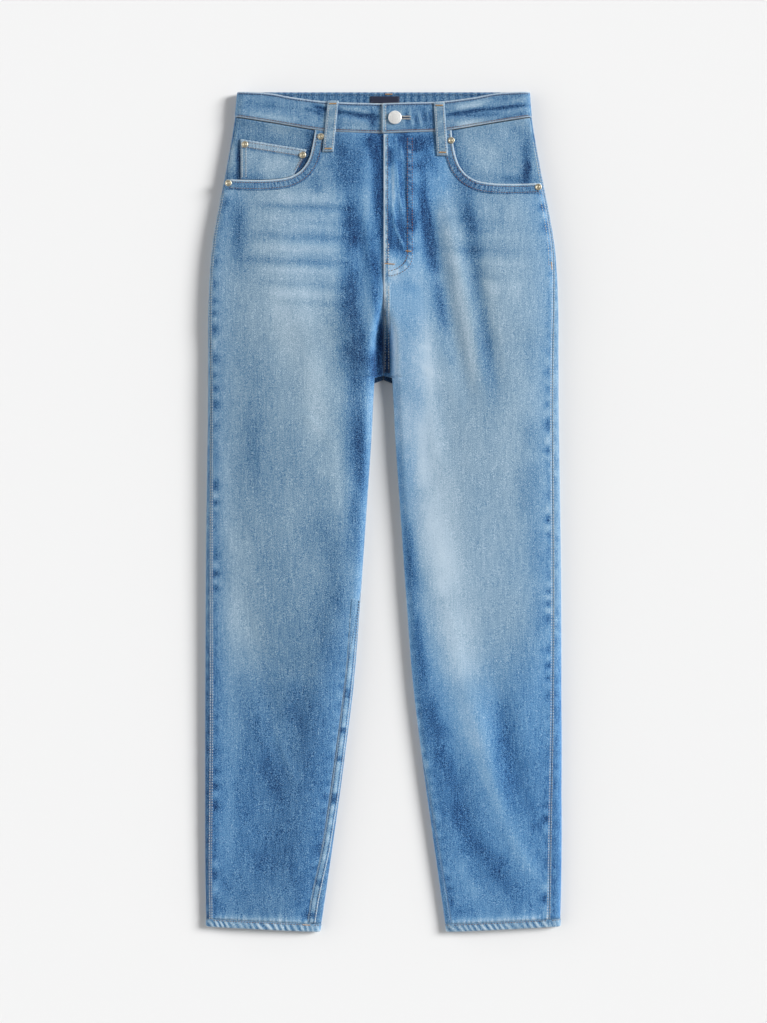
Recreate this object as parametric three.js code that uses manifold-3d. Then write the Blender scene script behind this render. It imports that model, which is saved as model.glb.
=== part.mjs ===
// High-rise mom jeans laid flat on a table, front up, as a tailor would cut them.
// Millimetres. +Z is up, +Y points to the waist and +X to the wearer's left leg.
// Each panel is a denim wall: an outer surface worked out from section tables, and an inner one moved in.
import * as THREE from "three";
import { mergeVertices } from "three/addons/utils/BufferGeometryUtils.js";
import Module from "manifold-3d";

const wasm = await Module();
wasm.setup();

// Driving dimensions
const DENIM = 1.4; // wall of a panel
const SEAM_GAP = 0.3; // between neighbouring pieces
const SEAT_LIFT = 1.8; // the seat lies on its back pockets and belt loops
const CROTCH_Y = 171; // where the four leg panels meet
const CROTCH_STEP = 2.5; // half the length over which the centre seam turns into the inseam
const VALLEY = { floor: 4.6, half: 10, bank: 11, from: 285, full: 205 }; // the sunk stretch above the crotch
const LEGS_PART = { from: 280, full: 130 }; // where the one crown of the hips turns into one for each leg
const SEAT_RISE = { from: 205, full: 245 }; // where the seat is raised to lie on its pockets
const BAND_WALL = 2.4; // doubled cloth of the waistband
const BAND_RISE = 0.8; // how far the waistband stands proud of the panels
const BAND_LAP_LIFT = 2.8; // the button end lies on the other end
const UNDERLAP_X = 28; // where the lower end of the waistband stops
const OVERLAP_X = -1.3; // where the button end stops
const FLY_LIFT = 1.8; // the left front lies on the right front along the fly
const LAP_SLOPE = { from: 5, to: 40 }; // beyond the lower end of the waistband, where the laps come down
const FLY_SLOPE = { low: 34, high: 6 }; // below the end of the fly
const FLY_UNDERLAP = 4;
const FLY_END_Y = 316;
const HEM_HEIGHT = 10;
const HEM_WALL = 2;
const HEM_RISE = 0.4;
const FACING_WALL = 1.2;
const FACING_REACH = 14; // how far a facing runs on under the front
const FACING_DROP = 1; // clear of the waistband's inner edge
const COIN_WALL = 1.1;
const PATCH_WALL = SEAT_LIFT - SEAM_GAP; // back pockets and back belt loops
const LOOP = { width: 13.7, wall: 1.5, length: 56, clearance: 0.6, drop: 2, settleFrom: 0.8 };
const RIVET = { radius: 4.2, height: 1.7 };
const BUTTON = { radius: 8.5, shank: 2.4, cap: 2.6, clearance: 0.6, x: 14.7, y: 499 };
const BUTTONHOLE = { eye: 3.2, slit: 1.8, end: 33 };
const LABEL = { width: 37, height: 22, wall: 0.8, x: 2, y: 518 };

// Outline from above: distance of the outer and the inner fold from the centre line.
const OUTER = [
  { y: 534, x: 185.5 },
  { y: 501, x: 188.5 },
  { y: 464, x: 194.5 },
  { y: 418, x: 203 },
  { y: 388, x: 209 },
  { y: 342, x: 217 },
  { y: 297, x: 221 },
  { y: 250, x: 222.5 },
  { y: 144, x: 223 },
  { y: 40, x: 224.5 },
  { y: -87, x: 226 },
  { y: -240, x: 226.7 },
  { y: -443, x: 226.7 },
  { y: -534, x: 225 },
];
const INNER = [
  { y: 168, x: 11 },
  { y: 141, x: 12.7 },
  { y: 91, x: 15.2 },
  { y: -11, x: 22.2 },
  { y: -112, x: 29.2 },
  { y: -214, x: 37.2 },
  { y: -316, x: 49.5 },
  { y: -417, x: 63.5 },
  { y: -519, x: 78.1 },
  { y: -534, x: 80.5 },
];

// Loft of the cloth: height of the crown, and of the rounded fold at the sides.
const LOFT = [
  { y: 534, crown: 15, edge: 12 },
  { y: 470, crown: 18, edge: 12 },
  { y: 400, crown: 22, edge: 12 },
  { y: 266, crown: 25, edge: 12.5 },
  { y: 150, crown: 25, edge: 12.5 },
  { y: 0, crown: 22, edge: 11.5 },
  { y: -214, crown: 18, edge: 10.5 },
  { y: -417, crown: 14, edge: 9.5 },
  { y: -534, crown: 11.5, edge: 8.5 },
];

// The waistband's seam and top edge, by distance from the centre line.
const WAIST_SEAM = [
  { x: 0, front: 479.5, back: 495 },
  { x: 70, front: 482.5, back: 496 },
  { x: 90, front: 485, back: 497 },
  { x: 140, front: 493.5, back: 499 },
  { x: 188, front: 501.3, back: 501.3 },
];
const WAIST_TOP = [
  { x: 0, front: 517.5, back: 534 },
  { x: 70, front: 520, back: 534 },
  { x: 115, front: 525.5, back: 534 },
  { x: 145, front: 531, back: 534 },
  { x: 185, front: 533.3, back: 533.3 },
];
const YOKE_SEAM = { centre: 424, side: 462 };
const HEM_LINE = { outer: -526.6, inner: -533.6 };

// How far each seam lies in from the fold, on the upper side, and how round that fold is.
const SIDES = {
  right: {
    sign: -1,
    outerRound: 10,
    innerRound: 11,
    scoopShift: 2,
    outseam: [
      { y: 534, inset: 2 },
      { y: 266, inset: 3 },
      { y: 144, inset: 5 },
      { y: -240, inset: 8.5 },
      { y: -534, inset: 6 },
    ],
    inseam: [
      { y: -100, inset: 0 },
      { y: -165, inset: 7 },
      { y: -240, inset: 12 },
      { y: -534, inset: 12.5 },
    ],
  },
  left: {
    sign: 1,
    outerRound: 12,
    innerRound: 11,
    scoopShift: -3,
    outseam: [
      { y: 534, inset: 2 },
      { y: 342, inset: 3 },
      { y: 266, inset: 7 },
      { y: 144, inset: 9.5 },
      { y: -240, inset: 12.5 },
      { y: -417, inset: 15.5 },
      { y: -534, inset: 15.5 },
    ],
    inseam: [
      { y: -300, inset: 0 },
      { y: -360, inset: 3 },
      { y: -534, inset: 8 },
    ],
  },
};

// The largest folds of the front: soft troughs (rise below 0) and ridges, from one end to the other.
const FOLDS = [
  { x0: -30, y0: 385, x1: -24, y1: 205, width: 11, rise: -2.6 },
  { x0: 54, y0: 400, x1: 108, y1: 140, width: 12, rise: -3 },
  { x0: 108, y0: 345, x1: 145, y1: 150, width: 12, rise: -2.4 },
  { x0: 84, y0: 360, x1: 126, y1: 150, width: 12, rise: 1.6 },
  { x0: -120, y0: 300, x1: -70, y1: 120, width: 22, rise: 1.4 },
  { x0: 104, y0: -215, x1: 156, y1: -400, width: 13, rise: 2 },
  { x0: 136, y0: -190, x1: 178, y1: -380, width: 14, rise: -1.8 },
  { x0: 76, y0: -250, x1: 118, y1: -440, width: 14, rise: -1.6 },
  { x0: -150, y0: -210, x1: -128, y1: -330, width: 14, rise: -1.6 },
  { x0: -96, y0: -190, x1: -118, y1: -320, width: 13, rise: -1.6 },
];

// Edge of the right pocket mouth, from the waistband to the side seam; the left one mirrors it.
const SCOOP = [
  { x: 86, y: 496 },
  { x: 87, y: 478 },
  { x: 92, y: 452 },
  { x: 99, y: 437 },
  { x: 110, y: 426.5 },
  { x: 127, y: 420.5 },
  { x: 160, y: 418.5 },
  { x: 206, y: 420.5 },
];
const COIN_POCKET = [
  { x: 97, y: 459 },
  { x: 181, y: 473 },
  { x: 181, y: 412 },
  { x: 121, y: 412 },
];
const BACK_POCKET = [
  { x: 44, y: 402 },
  { x: 178, y: 412 },
  { x: 171, y: 284 },
  { x: 108, y: 262 },
  { x: 48, y: 274 },
];
// Front belt loops and rivets, in the garment's own frame.
const FRONT_LOOPS = {
  right: { topX: -63.5, topY: 521, endX: -70, endY: 456 },
  left: { topX: 70.5, topY: 519, endX: 75, endY: 451 },
};
const BACK_LOOPS = { centre: 0, right: -128, left: 128 };
const RIVETS = {
  right_waist: { x: -79, y: 475.5 },
  right_side: { x: -196.5, y: 417 },
  coin_inner: { x: -102, y: 452 },
  coin_outer: { x: -175.5, y: 466 },
  left_waist: { x: 86, y: 470.5 },
  left_side: { x: 196.5, y: 412 },
};

// Turned profiles, as shares of the radius and of the height.
const RIVET_PROFILE = [
  { r: 0, h: 0 },
  { r: 1, h: 0 },
  { r: 1, h: 0.45 },
  { r: 0.72, h: 0.8 },
  { r: 0.4, h: 0.62 },
  { r: 0.28, h: 1 },
  { r: 0, h: 1 },
];
const BUTTON_CAP_PROFILE = [
  { r: 0.93, h: 0 },
  { r: 1, h: 0.27 },
  { r: 0.94, h: 0.7 },
  { r: 0.6, h: 0.94 },
  { r: 0, h: 1 },
];

// Grid sizes
const FACING_END_Y = 398; // a row of the front that lies below the facing
const PATH_STEPS = 160;
const FRONT_COLUMNS = 13;
const BACK_COLUMNS = 14;
const BAND_ROWS = 3;
const HIP_ROW = 22;
const LEG_ROW = 46;
const PROFILE_SIDES = { rivet: 14, button: 24 };
const CROWDING = 0.7; // 0 spaces a panel's columns evenly, and 1 crowds them at its folds
const DOME_POWER = 0.6; // below 1 the crown is flatter than half a wave
const FOLD_FADE = { out: 0.15, in: 0.3 }; // shares of a fold's length over which it dies away
const BIG = { depth: 400, x: 250, y: 600 }; // reach of a cutting prism

const MATERIALS = {
  denim: { color: 0x6f9cc4, roughness: 0.9, metalness: 0 },
  trim: { color: 0x86abcc, roughness: 0.9, metalness: 0 },
  metal: { color: 0xd9d8d2, roughness: 0.3, metalness: 1 },
  brass: { color: 0xc9b98d, roughness: 0.4, metalness: 1 },
  label: { color: 0x1c2338, roughness: 0.8, metalness: 0 },
};

const UP = new THREE.Vector3(0, 0, 1);
const { clamp, lerp, smoothstep } = THREE.MathUtils;

// A smooth curve through one column of a table whose keys all rise or all fall.
function curveOf(table, key, column) {
  const rows = [...table].sort((a, b) => a[key] - b[key]);
  const slope = (i) => {
    const a = rows[Math.max(i - 1, 0)];
    const b = rows[Math.min(i + 1, rows.length - 1)];
    return (b[column] - a[column]) / (b[key] - a[key]);
  };
  return (at) => {
    const k = clamp(at, rows[0][key], rows.at(-1)[key]);
    const i = clamp(rows.findIndex((row) => row[key] >= k) - 1, 0, rows.length - 2);
    const span = rows[i + 1][key] - rows[i][key];
    const t = (k - rows[i][key]) / span;
    const bend = t * t * (3 - 2 * t);
    return (
      lerp(rows[i][column], rows[i + 1][column], bend) +
      span * t * (1 - t) * (slope(i) * (1 - t) - slope(i + 1) * t)
    );
  };
}

const outerX = curveOf(OUTER, "y", "x");
const innerX = curveOf(INNER, "y", "x");
const crownZ = curveOf(LOFT, "y", "crown");
const edgeZ = curveOf(LOFT, "y", "edge");
const waistSeam = { front: curveOf(WAIST_SEAM, "x", "front"), back: curveOf(WAIST_SEAM, "x", "back") };
const waistTop = { front: curveOf(WAIST_TOP, "x", "front"), back: curveOf(WAIST_TOP, "x", "back") };
for (const side of Object.values(SIDES)) {
  side.outseamAt = curveOf(side.outseam, "y", "inset");
  side.inseamAt = curveOf(side.inseam, "y", "inset");
}

// Height of a quarter-round fold at a distance in from its edge.
const fold = (distance, radius) => Math.sqrt(1 - (1 - clamp(distance / radius, 0, 1)) ** 2);
const foldRadius = (radius, y) => (radius * edgeZ(y)) / LOFT[0].edge;
const dome = (w) => Math.sin(Math.PI * clamp(w, 0, 1)) ** DOME_POWER;
const seatLift = (y) => SEAT_LIFT * smoothstep(y, SEAT_RISE.from, SEAT_RISE.full);

function foldRise(x, y) {
  const { out, in: inside } = FOLD_FADE;
  return FOLDS.reduce((sum, f) => {
    const [dx, dy] = [f.x1 - f.x0, f.y1 - f.y0];
    const length = Math.hypot(dx, dy);
    const along = ((x - f.x0) * dx + (y - f.y0) * dy) / length ** 2;
    const across = ((x - f.x0) * dy - (y - f.y0) * dx) / length;
    const ends = smoothstep(along, -out, inside) * (1 - smoothstep(along, 1 - inside, 1 + out));
    return sum + f.rise * ends * Math.exp(-((across / f.width) ** 2));
  }, 0);
}

// Outer surface of the front at a distance x from the centre line.
function topHeight(side, x, y) {
  const outer = outerX(y);
  const inner = innerX(y);
  const middle = edgeZ(y) / 2;
  const legShare = 1 - smoothstep(y, LEGS_PART.full, LEGS_PART.from);
  const arch = lerp(dome(0.5 + x / outer / 2), dome((x - inner) / (outer - inner)), legShare);
  let z = edgeZ(y) + (crownZ(y) - edgeZ(y)) * arch + foldRise(side.sign * x, y);
  z = middle + (z - middle) * fold(outer - x, foldRadius(side.outerRound, y));
  if (y > CROTCH_Y) {
    const { floor, half, bank, from, full } = VALLEY;
    const dip = 1 - smoothstep(y, full, from);
    z = lerp(z, floor + (z - floor) * fold(Math.abs(x) - half * dip, bank), dip);
  } else {
    z = middle + (z - middle) * fold(x - inner, foldRadius(side.innerRound, y));
  }
  return z + seatLift(y);
}

// How far the left front and its end of the waistband are raised where they lap over the right.
const lapShare = (x) => 1 - smoothstep(x, UNDERLAP_X + LAP_SLOPE.from, UNDERLAP_X + LAP_SLOPE.to);
const flyShare = (y) => smoothstep(y, FLY_END_Y - FLY_SLOPE.low, FLY_END_Y - FLY_SLOPE.high);
const flyLift = (x, y) => FLY_LIFT * flyShare(y) * lapShare(x);

// The front's section at height y, from the outseam over the top to the centre seam or inseam.
function frontPath(side, y) {
  const start = outerX(y) - side.outseamAt(y);
  const underlap = side.sign < 0 && y > FLY_END_Y ? -FLY_UNDERLAP : 0;
  const end = y > CROTCH_Y ? underlap : innerX(y) + side.inseamAt(y);
  return Array.from({ length: PATH_STEPS + 1 }, (_, i) => {
    const x = lerp(start, end, (1 - Math.cos((Math.PI * i) / PATH_STEPS)) / 2);
    const lift = side.sign > 0 ? flyLift(x, y) : 0;
    return new THREE.Vector2(x, topHeight(side, x, y) + lift);
  });
}

// The back's section, from the outseam round the outer fold, along the table and up the inner fold.
function backPath(side, y) {
  const [outer, middle, lift] = [outerX(y), edgeZ(y) / 2, seatLift(y)];
  const [outerRound, innerRound] = [foldRadius(side.outerRound, y), foldRadius(side.innerRound, y)];
  const closed = y < CROTCH_Y - 2 * CROTCH_STEP;
  const inner = closed ? innerX(y) : 0;
  const steps = PATH_STEPS / 4;
  const points = [];
  for (let i = 0; i < steps; i++) {
    const x = outer - side.outseamAt(y) * (1 - i / steps);
    points.push([x, topHeight(side, x, y)]);
  }
  for (let i = 0; i <= steps; i++) {
    const turn = (Math.PI / 2) * (i / steps);
    points.push([outer - outerRound * (1 - Math.cos(turn)), lift + middle * (1 - Math.sin(turn))]);
  }
  if (!closed) points.push([0, lift]);
  for (let i = 0; closed && i <= steps; i++) {
    const turn = (Math.PI / 2) * (1 - i / steps);
    points.push([inner + innerRound * (1 - Math.cos(turn)), lift + middle * (1 - Math.sin(turn))]);
  }
  for (let i = 1; closed && side.inseamAt(y) > SEAM_GAP && i <= steps; i++) {
    const x = inner + side.inseamAt(y) * (i / steps);
    points.push([x, topHeight(side, x, y)]);
  }
  return points.map(([x, z]) => new THREE.Vector2(x, z));
}

// The point at a share of a path's length, with a gap left free at both ends, and its outward normal.
function alongPath(path, share, gap, turn) {
  const lengths = path.slice(1).map((p, i) => p.distanceTo(path[i]));
  const total = lengths.reduce((a, b) => a + b);
  let rest = gap / 2 + share * (total - gap);
  let i = 0;
  while (i < lengths.length - 1 && rest > lengths[i]) rest -= lengths[i++];
  const tangent = path[i + 1].clone().sub(path[i]).normalize();
  const point = path[i].clone().addScaledVector(tangent, rest);
  return { point, normal: new THREE.Vector2(tangent.y, -tangent.x).multiplyScalar(turn) };
}

// Columns stand closer at the folds than in the middle.
const crowded = (s) => s - (CROWDING * Math.sin(2 * Math.PI * s)) / (2 * Math.PI);
const sections = (count) => Array.from({ length: count + 1 }, (_, i) => i / count);

// The two faces of a leg: the front is passed from the outseam inwards, and the back the other way round.
const FRONT = { path: frontPath, columns: FRONT_COLUMNS, turn: 1 };
const BACK = { path: backPath, columns: BACK_COLUMNS, turn: -1 };

// A grid on one face of one leg; rowY gives a row's y at a distance x from the centre line.
function panelGrid(side, face, rows, rowY, gap = SEAM_GAP) {
  return rows.map((row) =>
    sections(face.columns).map((s) => {
      const at = (y) => alongPath(face.path(side, y), crowded(s), gap, face.turn);
      const y = rowY(row, at(rowY(row, 100)).point.x);
      const { point, normal } = at(y);
      return {
        point: new THREE.Vector3(side.sign * point.x, y, point.y),
        normal: new THREE.Vector3(side.sign * normal.x, 0, normal.y),
      };
    }),
  );
}

const across = (x, y) => clamp((outerX(y) - x) / (outerX(y) - innerX(y)), 0, 1);
const hemLine = (x) => lerp(HEM_LINE.outer, HEM_LINE.inner, across(Math.abs(x), HEM_LINE.inner));
const PANEL_END_Y = HEM_LINE.inner + HEM_HEIGHT + SEAM_GAP;
const ROW_BEND = 70; // stretch over which rows turn into a seam's direction

// Rows run straight across the leg, and bend to the seam at the top and to the hem at the bottom.
const bentRow = (topY, seam) => (y, x) => {
  const toSeam = (seam(x) - SEAM_GAP / 2 - topY) * smoothstep(y, topY - ROW_BEND, topY);
  const hemShare = 1 - smoothstep(y, PANEL_END_Y, PANEL_END_Y + ROW_BEND);
  return y + toSeam + (hemLine(x) + HEM_HEIGHT + SEAM_GAP - PANEL_END_Y) * hemShare;
};

// Heights of the rows between stops, at the hip's finer step or the leg's.
function rowHeights(stops) {
  const rows = stops.slice(1).flatMap((y, i) => {
    const step = y >= CROTCH_Y - 3 * CROTCH_STEP ? HIP_ROW : LEG_ROW;
    const count = Math.max(1, Math.round((stops[i] - y) / step));
    return sections(count).slice(0, -1).map((s) => lerp(stops[i], y, s));
  });
  return [...rows, stops.at(-1)];
}
const CROTCH_ROWS = [CROTCH_Y - CROTCH_STEP, CROTCH_Y - 3 * CROTCH_STEP, PANEL_END_Y];

// Adds each point's upward normal in its own section, for rows that run towards +X.
function withNormals(grid) {
  return grid.map((row) =>
    row.map((point, c) => {
      const [before, after] = [row[Math.max(c - 1, 0)], row[Math.min(c + 1, row.length - 1)]];
      const tangent = after.clone().sub(before).setY(0).normalize();
      return { point, normal: new THREE.Vector3(-tangent.z, 0, tangent.x) };
    }),
  );
}

// A closed wall on a grid: its outer surface is moved out by rise, and its inner one lies a wall below.
function wallOn(grid, { wall = DENIM, rise = 0, wrap = false } = {}) {
  const [rows, columns] = [grid.length, grid[0].length];
  const moved = (distance) =>
    grid.flat().map(({ point, normal }) => {
      const p = point.clone().addScaledVector(normal, distance);
      return p.setZ(Math.max(p.z, 0));
    });
  const points = [...moved(rise), ...moved(rise - wall)];
  const index = (layer, r, c) => layer * rows * columns + r * columns + (c % columns);
  const faces = [];
  const quad = (a, b, c, d) => faces.push(a, b, c, a, c, d);
  const lastColumn = wrap ? columns : columns - 1;
  for (let r = 0; r < rows - 1; r++)
    for (let c = 0; c < lastColumn; c++) {
      quad(index(0, r, c), index(0, r + 1, c), index(0, r + 1, c + 1), index(0, r, c + 1));
      quad(index(1, r, c), index(1, r, c + 1), index(1, r + 1, c + 1), index(1, r + 1, c));
    }
  for (let c = 0; c < lastColumn; c++) {
    quad(index(0, 0, c), index(0, 0, c + 1), index(1, 0, c + 1), index(1, 0, c));
    quad(index(0, rows - 1, c + 1), index(0, rows - 1, c), index(1, rows - 1, c), index(1, rows - 1, c + 1));
  }
  for (let r = 0; !wrap && r < rows - 1; r++) {
    quad(index(0, r + 1, 0), index(0, r, 0), index(1, r, 0), index(1, r + 1, 0));
    const c = columns - 1;
    quad(index(0, r, c), index(0, r + 1, c), index(1, r + 1, c), index(1, r, c));
  }
  return facingOut(new THREE.BufferGeometry().setFromPoints(points).setIndex(faces));
}

// Turns a closed mesh's faces outwards if its volume comes out negative.
function facingOut(geometry) {
  const position = geometry.getAttribute("position");
  const index = geometry.getIndex().array;
  const [a, b, c] = [new THREE.Vector3(), new THREE.Vector3(), new THREE.Vector3()];
  let volume = 0;
  for (let i = 0; i < index.length; i += 3) {
    [a, b, c].forEach((v, k) => v.fromBufferAttribute(position, index[i + k]));
    volume += a.dot(b.cross(c));
  }
  if (volume < 0)
    for (let i = 0; i < index.length; i += 3) [index[i + 1], index[i + 2]] = [index[i + 2], index[i + 1]];
  return geometry;
}

// Between three.js geometry and manifold-3d solids
function solidOf(geometry) {
  const bare = geometry.clone();
  bare.deleteAttribute("normal");
  bare.deleteAttribute("uv");
  const merged = mergeVertices(bare, 1e-4);
  return new wasm.Manifold(
    new wasm.Mesh({
      numProp: 3,
      vertProperties: new Float32Array(merged.getAttribute("position").array),
      triVerts: new Uint32Array(merged.getIndex().array),
    }),
  );
}

function geometryOf(solid) {
  const mesh = solid.getMesh();
  return new THREE.BufferGeometry()
    .setAttribute("position", new THREE.BufferAttribute(mesh.vertProperties, 3))
    .setIndex(new THREE.BufferAttribute(mesh.triVerts, 1));
}

// A prism over an outline seen from above, deep enough to pass through the whole garment.
function prismOver(points, depth = BIG.depth, from = -BIG.depth / 2) {
  const geometry = new THREE.ExtrudeGeometry(new THREE.Shape(points), { depth, bevelEnabled: false });
  return geometry.translate(0, 0, from);
}

// The outline above a pocket mouth, grown outwards by a distance.
function scoopOutline(side, grow) {
  const curve = new THREE.SplineCurve(SCOOP.map((p) => new THREE.Vector2(p.x, p.y + side.scoopShift)));
  const edge = sections(22).map((s) => {
    const tangent = curve.getTangent(s);
    return curve.getPoint(s).add(new THREE.Vector2(tangent.y, -tangent.x).multiplyScalar(grow));
  });
  const beyond = [new THREE.Vector2(BIG.x, edge.at(-1).y), new THREE.Vector2(BIG.x, BIG.y)];
  const outline = [...edge, ...beyond, new THREE.Vector2(edge[0].x, BIG.y)];
  return outline.map((p) => new THREE.Vector2(p.x * side.sign, p.y));
}

const waistY = WAIST_SEAM[0].front;

function frontGrid(side) {
  const hip = [waistY, FACING_END_Y, FLY_END_Y + FLY_SLOPE.high, FLY_END_Y - FLY_SLOPE.high];
  const seat = [SEAT_RISE.full, SEAT_RISE.from, CROTCH_Y + CROTCH_STEP];
  const rows = rowHeights([...hip, ...seat, ...CROTCH_ROWS]);
  return panelGrid(side, FRONT, rows, bentRow(waistY, waistSeam.front));
}

// The front's own rows and columns down to the end of the facing.
const hipGrid = (side) => frontGrid(side).filter((row) => row.at(-1).point.y > FACING_END_Y - 1);

function frontPanel(side) {
  const whole = solidOf(wallOn(frontGrid(side)));
  return geometryOf(whole.subtract(solidOf(prismOver(scoopOutline(side, 0)))));
}

function pocketFacing(side) {
  const grid = hipGrid(side);
  for (const { point } of grid[0]) point.y -= FACING_DROP;
  const layer = wallOn(grid, { wall: FACING_WALL, rise: -DENIM - SEAM_GAP });
  return geometryOf(solidOf(layer).intersect(solidOf(prismOver(scoopOutline(side, FACING_REACH)))));
}

function coinPocket(side) {
  const layer = wallOn(hipGrid(side), { wall: COIN_WALL, rise: COIN_WALL - DENIM });
  const outline = COIN_POCKET.map((p) => new THREE.Vector2(p.x * side.sign, p.y));
  const shape = solidOf(prismOver(outline)).intersect(solidOf(prismOver(scoopOutline(side, -2 * SEAM_GAP))));
  return geometryOf(solidOf(layer).intersect(shape));
}

const yokeSeam = (x) => lerp(YOKE_SEAM.centre, YOKE_SEAM.side, clamp(x / 200, 0, 1));

function backPanel(side) {
  const rows = rowHeights([YOKE_SEAM.centre, SEAT_RISE.full, SEAT_RISE.from, ...CROTCH_ROWS]);
  return wallOn(panelGrid(side, BACK, rows, bentRow(YOKE_SEAM.centre, yokeSeam)));
}

function backYoke(side) {
  const row = (s, x) => lerp(waistSeam.back(x) - SEAM_GAP / 2, yokeSeam(x) + SEAM_GAP / 2, s);
  return wallOn(panelGrid(side, BACK, sections(3), row));
}

// The turned-up hem: a thicker band round the whole leg, open below.
function hemBand(side) {
  const row = (s, x) => hemLine(x) + HEM_HEIGHT * (1 - s);
  const front = panelGrid(side, FRONT, sections(2), row, 0);
  const back = panelGrid(side, BACK, sections(2), row, 0);
  const ring = front.map((points, r) => [...points.slice(0, -1), ...back[r].reverse().slice(0, -1)]);
  return wallOn(ring, { wall: HEM_WALL, rise: HEM_RISE, wrap: true });
}

// One strip of doubled cloth from the button end, round the back and under to the other end.
// Its columns are those of the panels that it is sewn to.
function waistband() {
  const row = (face) => (h, x) => lerp(waistSeam[face](x) + SEAM_GAP / 2, waistTop[face](x), h);
  const rows = sections(BAND_ROWS);
  const part = (side, face, name) => panelGrid(side, face, rows, row(name), 0);
  const [leftFront, rightFront] = [part(SIDES.left, FRONT, "front"), part(SIDES.right, FRONT, "front")];
  const [leftBack, rightBack] = [part(SIDES.left, BACK, "back"), part(SIDES.right, BACK, "back")];
  const grid = rows.map((h, r) => {
    const lap = (side, x) => {
      const y = row("front")(h, Math.abs(x));
      const lift = side.sign > 0 ? flyLift(0, y) : 0;
      return { point: new THREE.Vector3(x, y, topHeight(side, x * side.sign, y) + lift), normal: UP };
    };
    for (const { point } of leftFront[r]) point.z += (BAND_LAP_LIFT - FLY_LIFT) * lapShare(point.x);
    for (const { point, normal } of [...leftBack[r], ...rightBack[r]])
      point.z -= BAND_RISE * Math.min(normal.z, 0); // its lower surface stays level with the yoke's
    const end = lap(SIDES.left, OVERLAP_X);
    end.point.z += BAND_LAP_LIFT - FLY_LIFT;
    return [
      end,
      ...leftFront[r].reverse(),
      ...leftBack[r].slice(1),
      ...rightBack[r].reverse().slice(1),
      ...rightFront[r].slice(1),
      lap(SIDES.right, UNDERLAP_X / 2),
      lap(SIDES.right, UNDERLAP_X),
    ];
  });
  const wall = wallOn(grid, { wall: BAND_WALL, rise: BAND_RISE });
  return geometryOf(solidOf(wall).subtract(solidOf(buttonhole())));
}

// A keyhole: a round eye for the shank and a slit away from the band's end.
function buttonhole() {
  const half = BUTTONHOLE.slit / 2;
  const open = Math.asin(half / BUTTONHOLE.eye);
  const shape = new THREE.Shape();
  shape.absarc(BUTTON.x, BUTTON.y, BUTTONHOLE.eye, open, 2 * Math.PI - open);
  shape.lineTo(BUTTONHOLE.end, BUTTON.y - half);
  shape.lineTo(BUTTONHOLE.end, BUTTON.y + half);
  const floor = surfaceAt(BUTTON.x, BUTTON.y) + BAND_RISE + SEAM_GAP / 2;
  const options = { depth: BIG.depth, bevelEnabled: false, curveSegments: 10 };
  const geometry = new THREE.ExtrudeGeometry(shape, options);
  return geometry.translate(0, 0, floor);
}

// The front's outer surface in the garment's frame, without laps.
const sideOf = (x) => (x < 0 ? SIDES.right : SIDES.left);
const surfaceAt = (x, y) => topHeight(sideOf(x), Math.abs(x), y);

// A front belt loop: a strip over the waistband that comes down to the front below it.
function frontLoop({ topX, topY, endX, endY }) {
  const grid = sections(8).map((s) =>
    [-0.5, -0.17, 0.17, 0.5].map((w) => {
      const x = lerp(topX, endX, s) + w * LOOP.width;
      const y = lerp(topY, endY, s);
      const lap = x > 0 ? BAND_LAP_LIFT * lapShare(x) : 0;
      const settle = BAND_RISE * (1 - smoothstep(s, LOOP.settleFrom, 1)) + lap * (1 - s);
      return new THREE.Vector3(x, y, surfaceAt(x, y) + settle);
    }),
  );
  return wallOn(withNormals(grid), { wall: LOOP.wall, rise: LOOP.wall + LOOP.clearance });
}

// A back belt loop lies flat between the waistband and the table.
function backLoop(x) {
  const [half, top] = [LOOP.width / 2, WAIST_TOP[0].back - LOOP.drop];
  const corner = (dx, y) => new THREE.Vector2(x + dx, y);
  const end = top - LOOP.length;
  const outline = [corner(-half, top), corner(-half, end), corner(half, end), corner(half, top)];
  return prismOver(outline, PATCH_WALL, 0);
}

function backPocket(side) {
  const outline = BACK_POCKET.map((p) => new THREE.Vector2(p.x * side.sign, p.y));
  return prismOver(outline, PATCH_WALL, 0);
}

// Height of the facing, the coin pocket or the front at a rivet.
function rivetSeat(name, x, y) {
  const drop = name.startsWith("coin") ? DENIM - COIN_WALL : 0;
  const reach = [-1, 0, 1].flatMap((i) => [-1, 0, 1].map((k) => [i * RIVET.radius, k * RIVET.radius]));
  const highest = Math.max(...reach.map(([dx, dy]) => surfaceAt(x + dx, y + dy)));
  return highest - drop + SEAM_GAP;
}

// A solid turned round the Z axis from rows of a profile, drawn at a radius and a height.
function turned(rows, sides) {
  const profile = rows.map(([r, h]) => new THREE.Vector2(r, h));
  return new THREE.LatheGeometry(profile, sides).rotateX(Math.PI / 2);
}

function rivet() {
  const rows = RIVET_PROFILE.map(({ r, h }) => [r * RIVET.radius, h * RIVET.height]);
  return turned(rows, PROFILE_SIDES.rivet);
}

// The shank stands on the lower end of the waistband, inside the buttonhole's eye.
function button() {
  const { radius, shank, cap, clearance } = BUTTON;
  const stem = BAND_LAP_LIFT + clearance;
  const capRows = BUTTON_CAP_PROFILE.map(({ r, h }) => [r * radius, stem + h * cap]);
  return turned([[0, 0], [shank, 0], [shank, stem], ...capRows], PROFILE_SIDES.button);
}

function wovenLabel() {
  return new THREE.BoxGeometry(LABEL.width, LABEL.height, LABEL.wall);
}

const jeans = new THREE.Group();

function add(name, geometry, material, position = [0, 0, 0]) {
  const mesh = new THREE.Mesh(geometry, new THREE.MeshStandardMaterial(MATERIALS[material]));
  mesh.name = name;
  mesh.position.set(...position);
  jeans.add(mesh);
}

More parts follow.
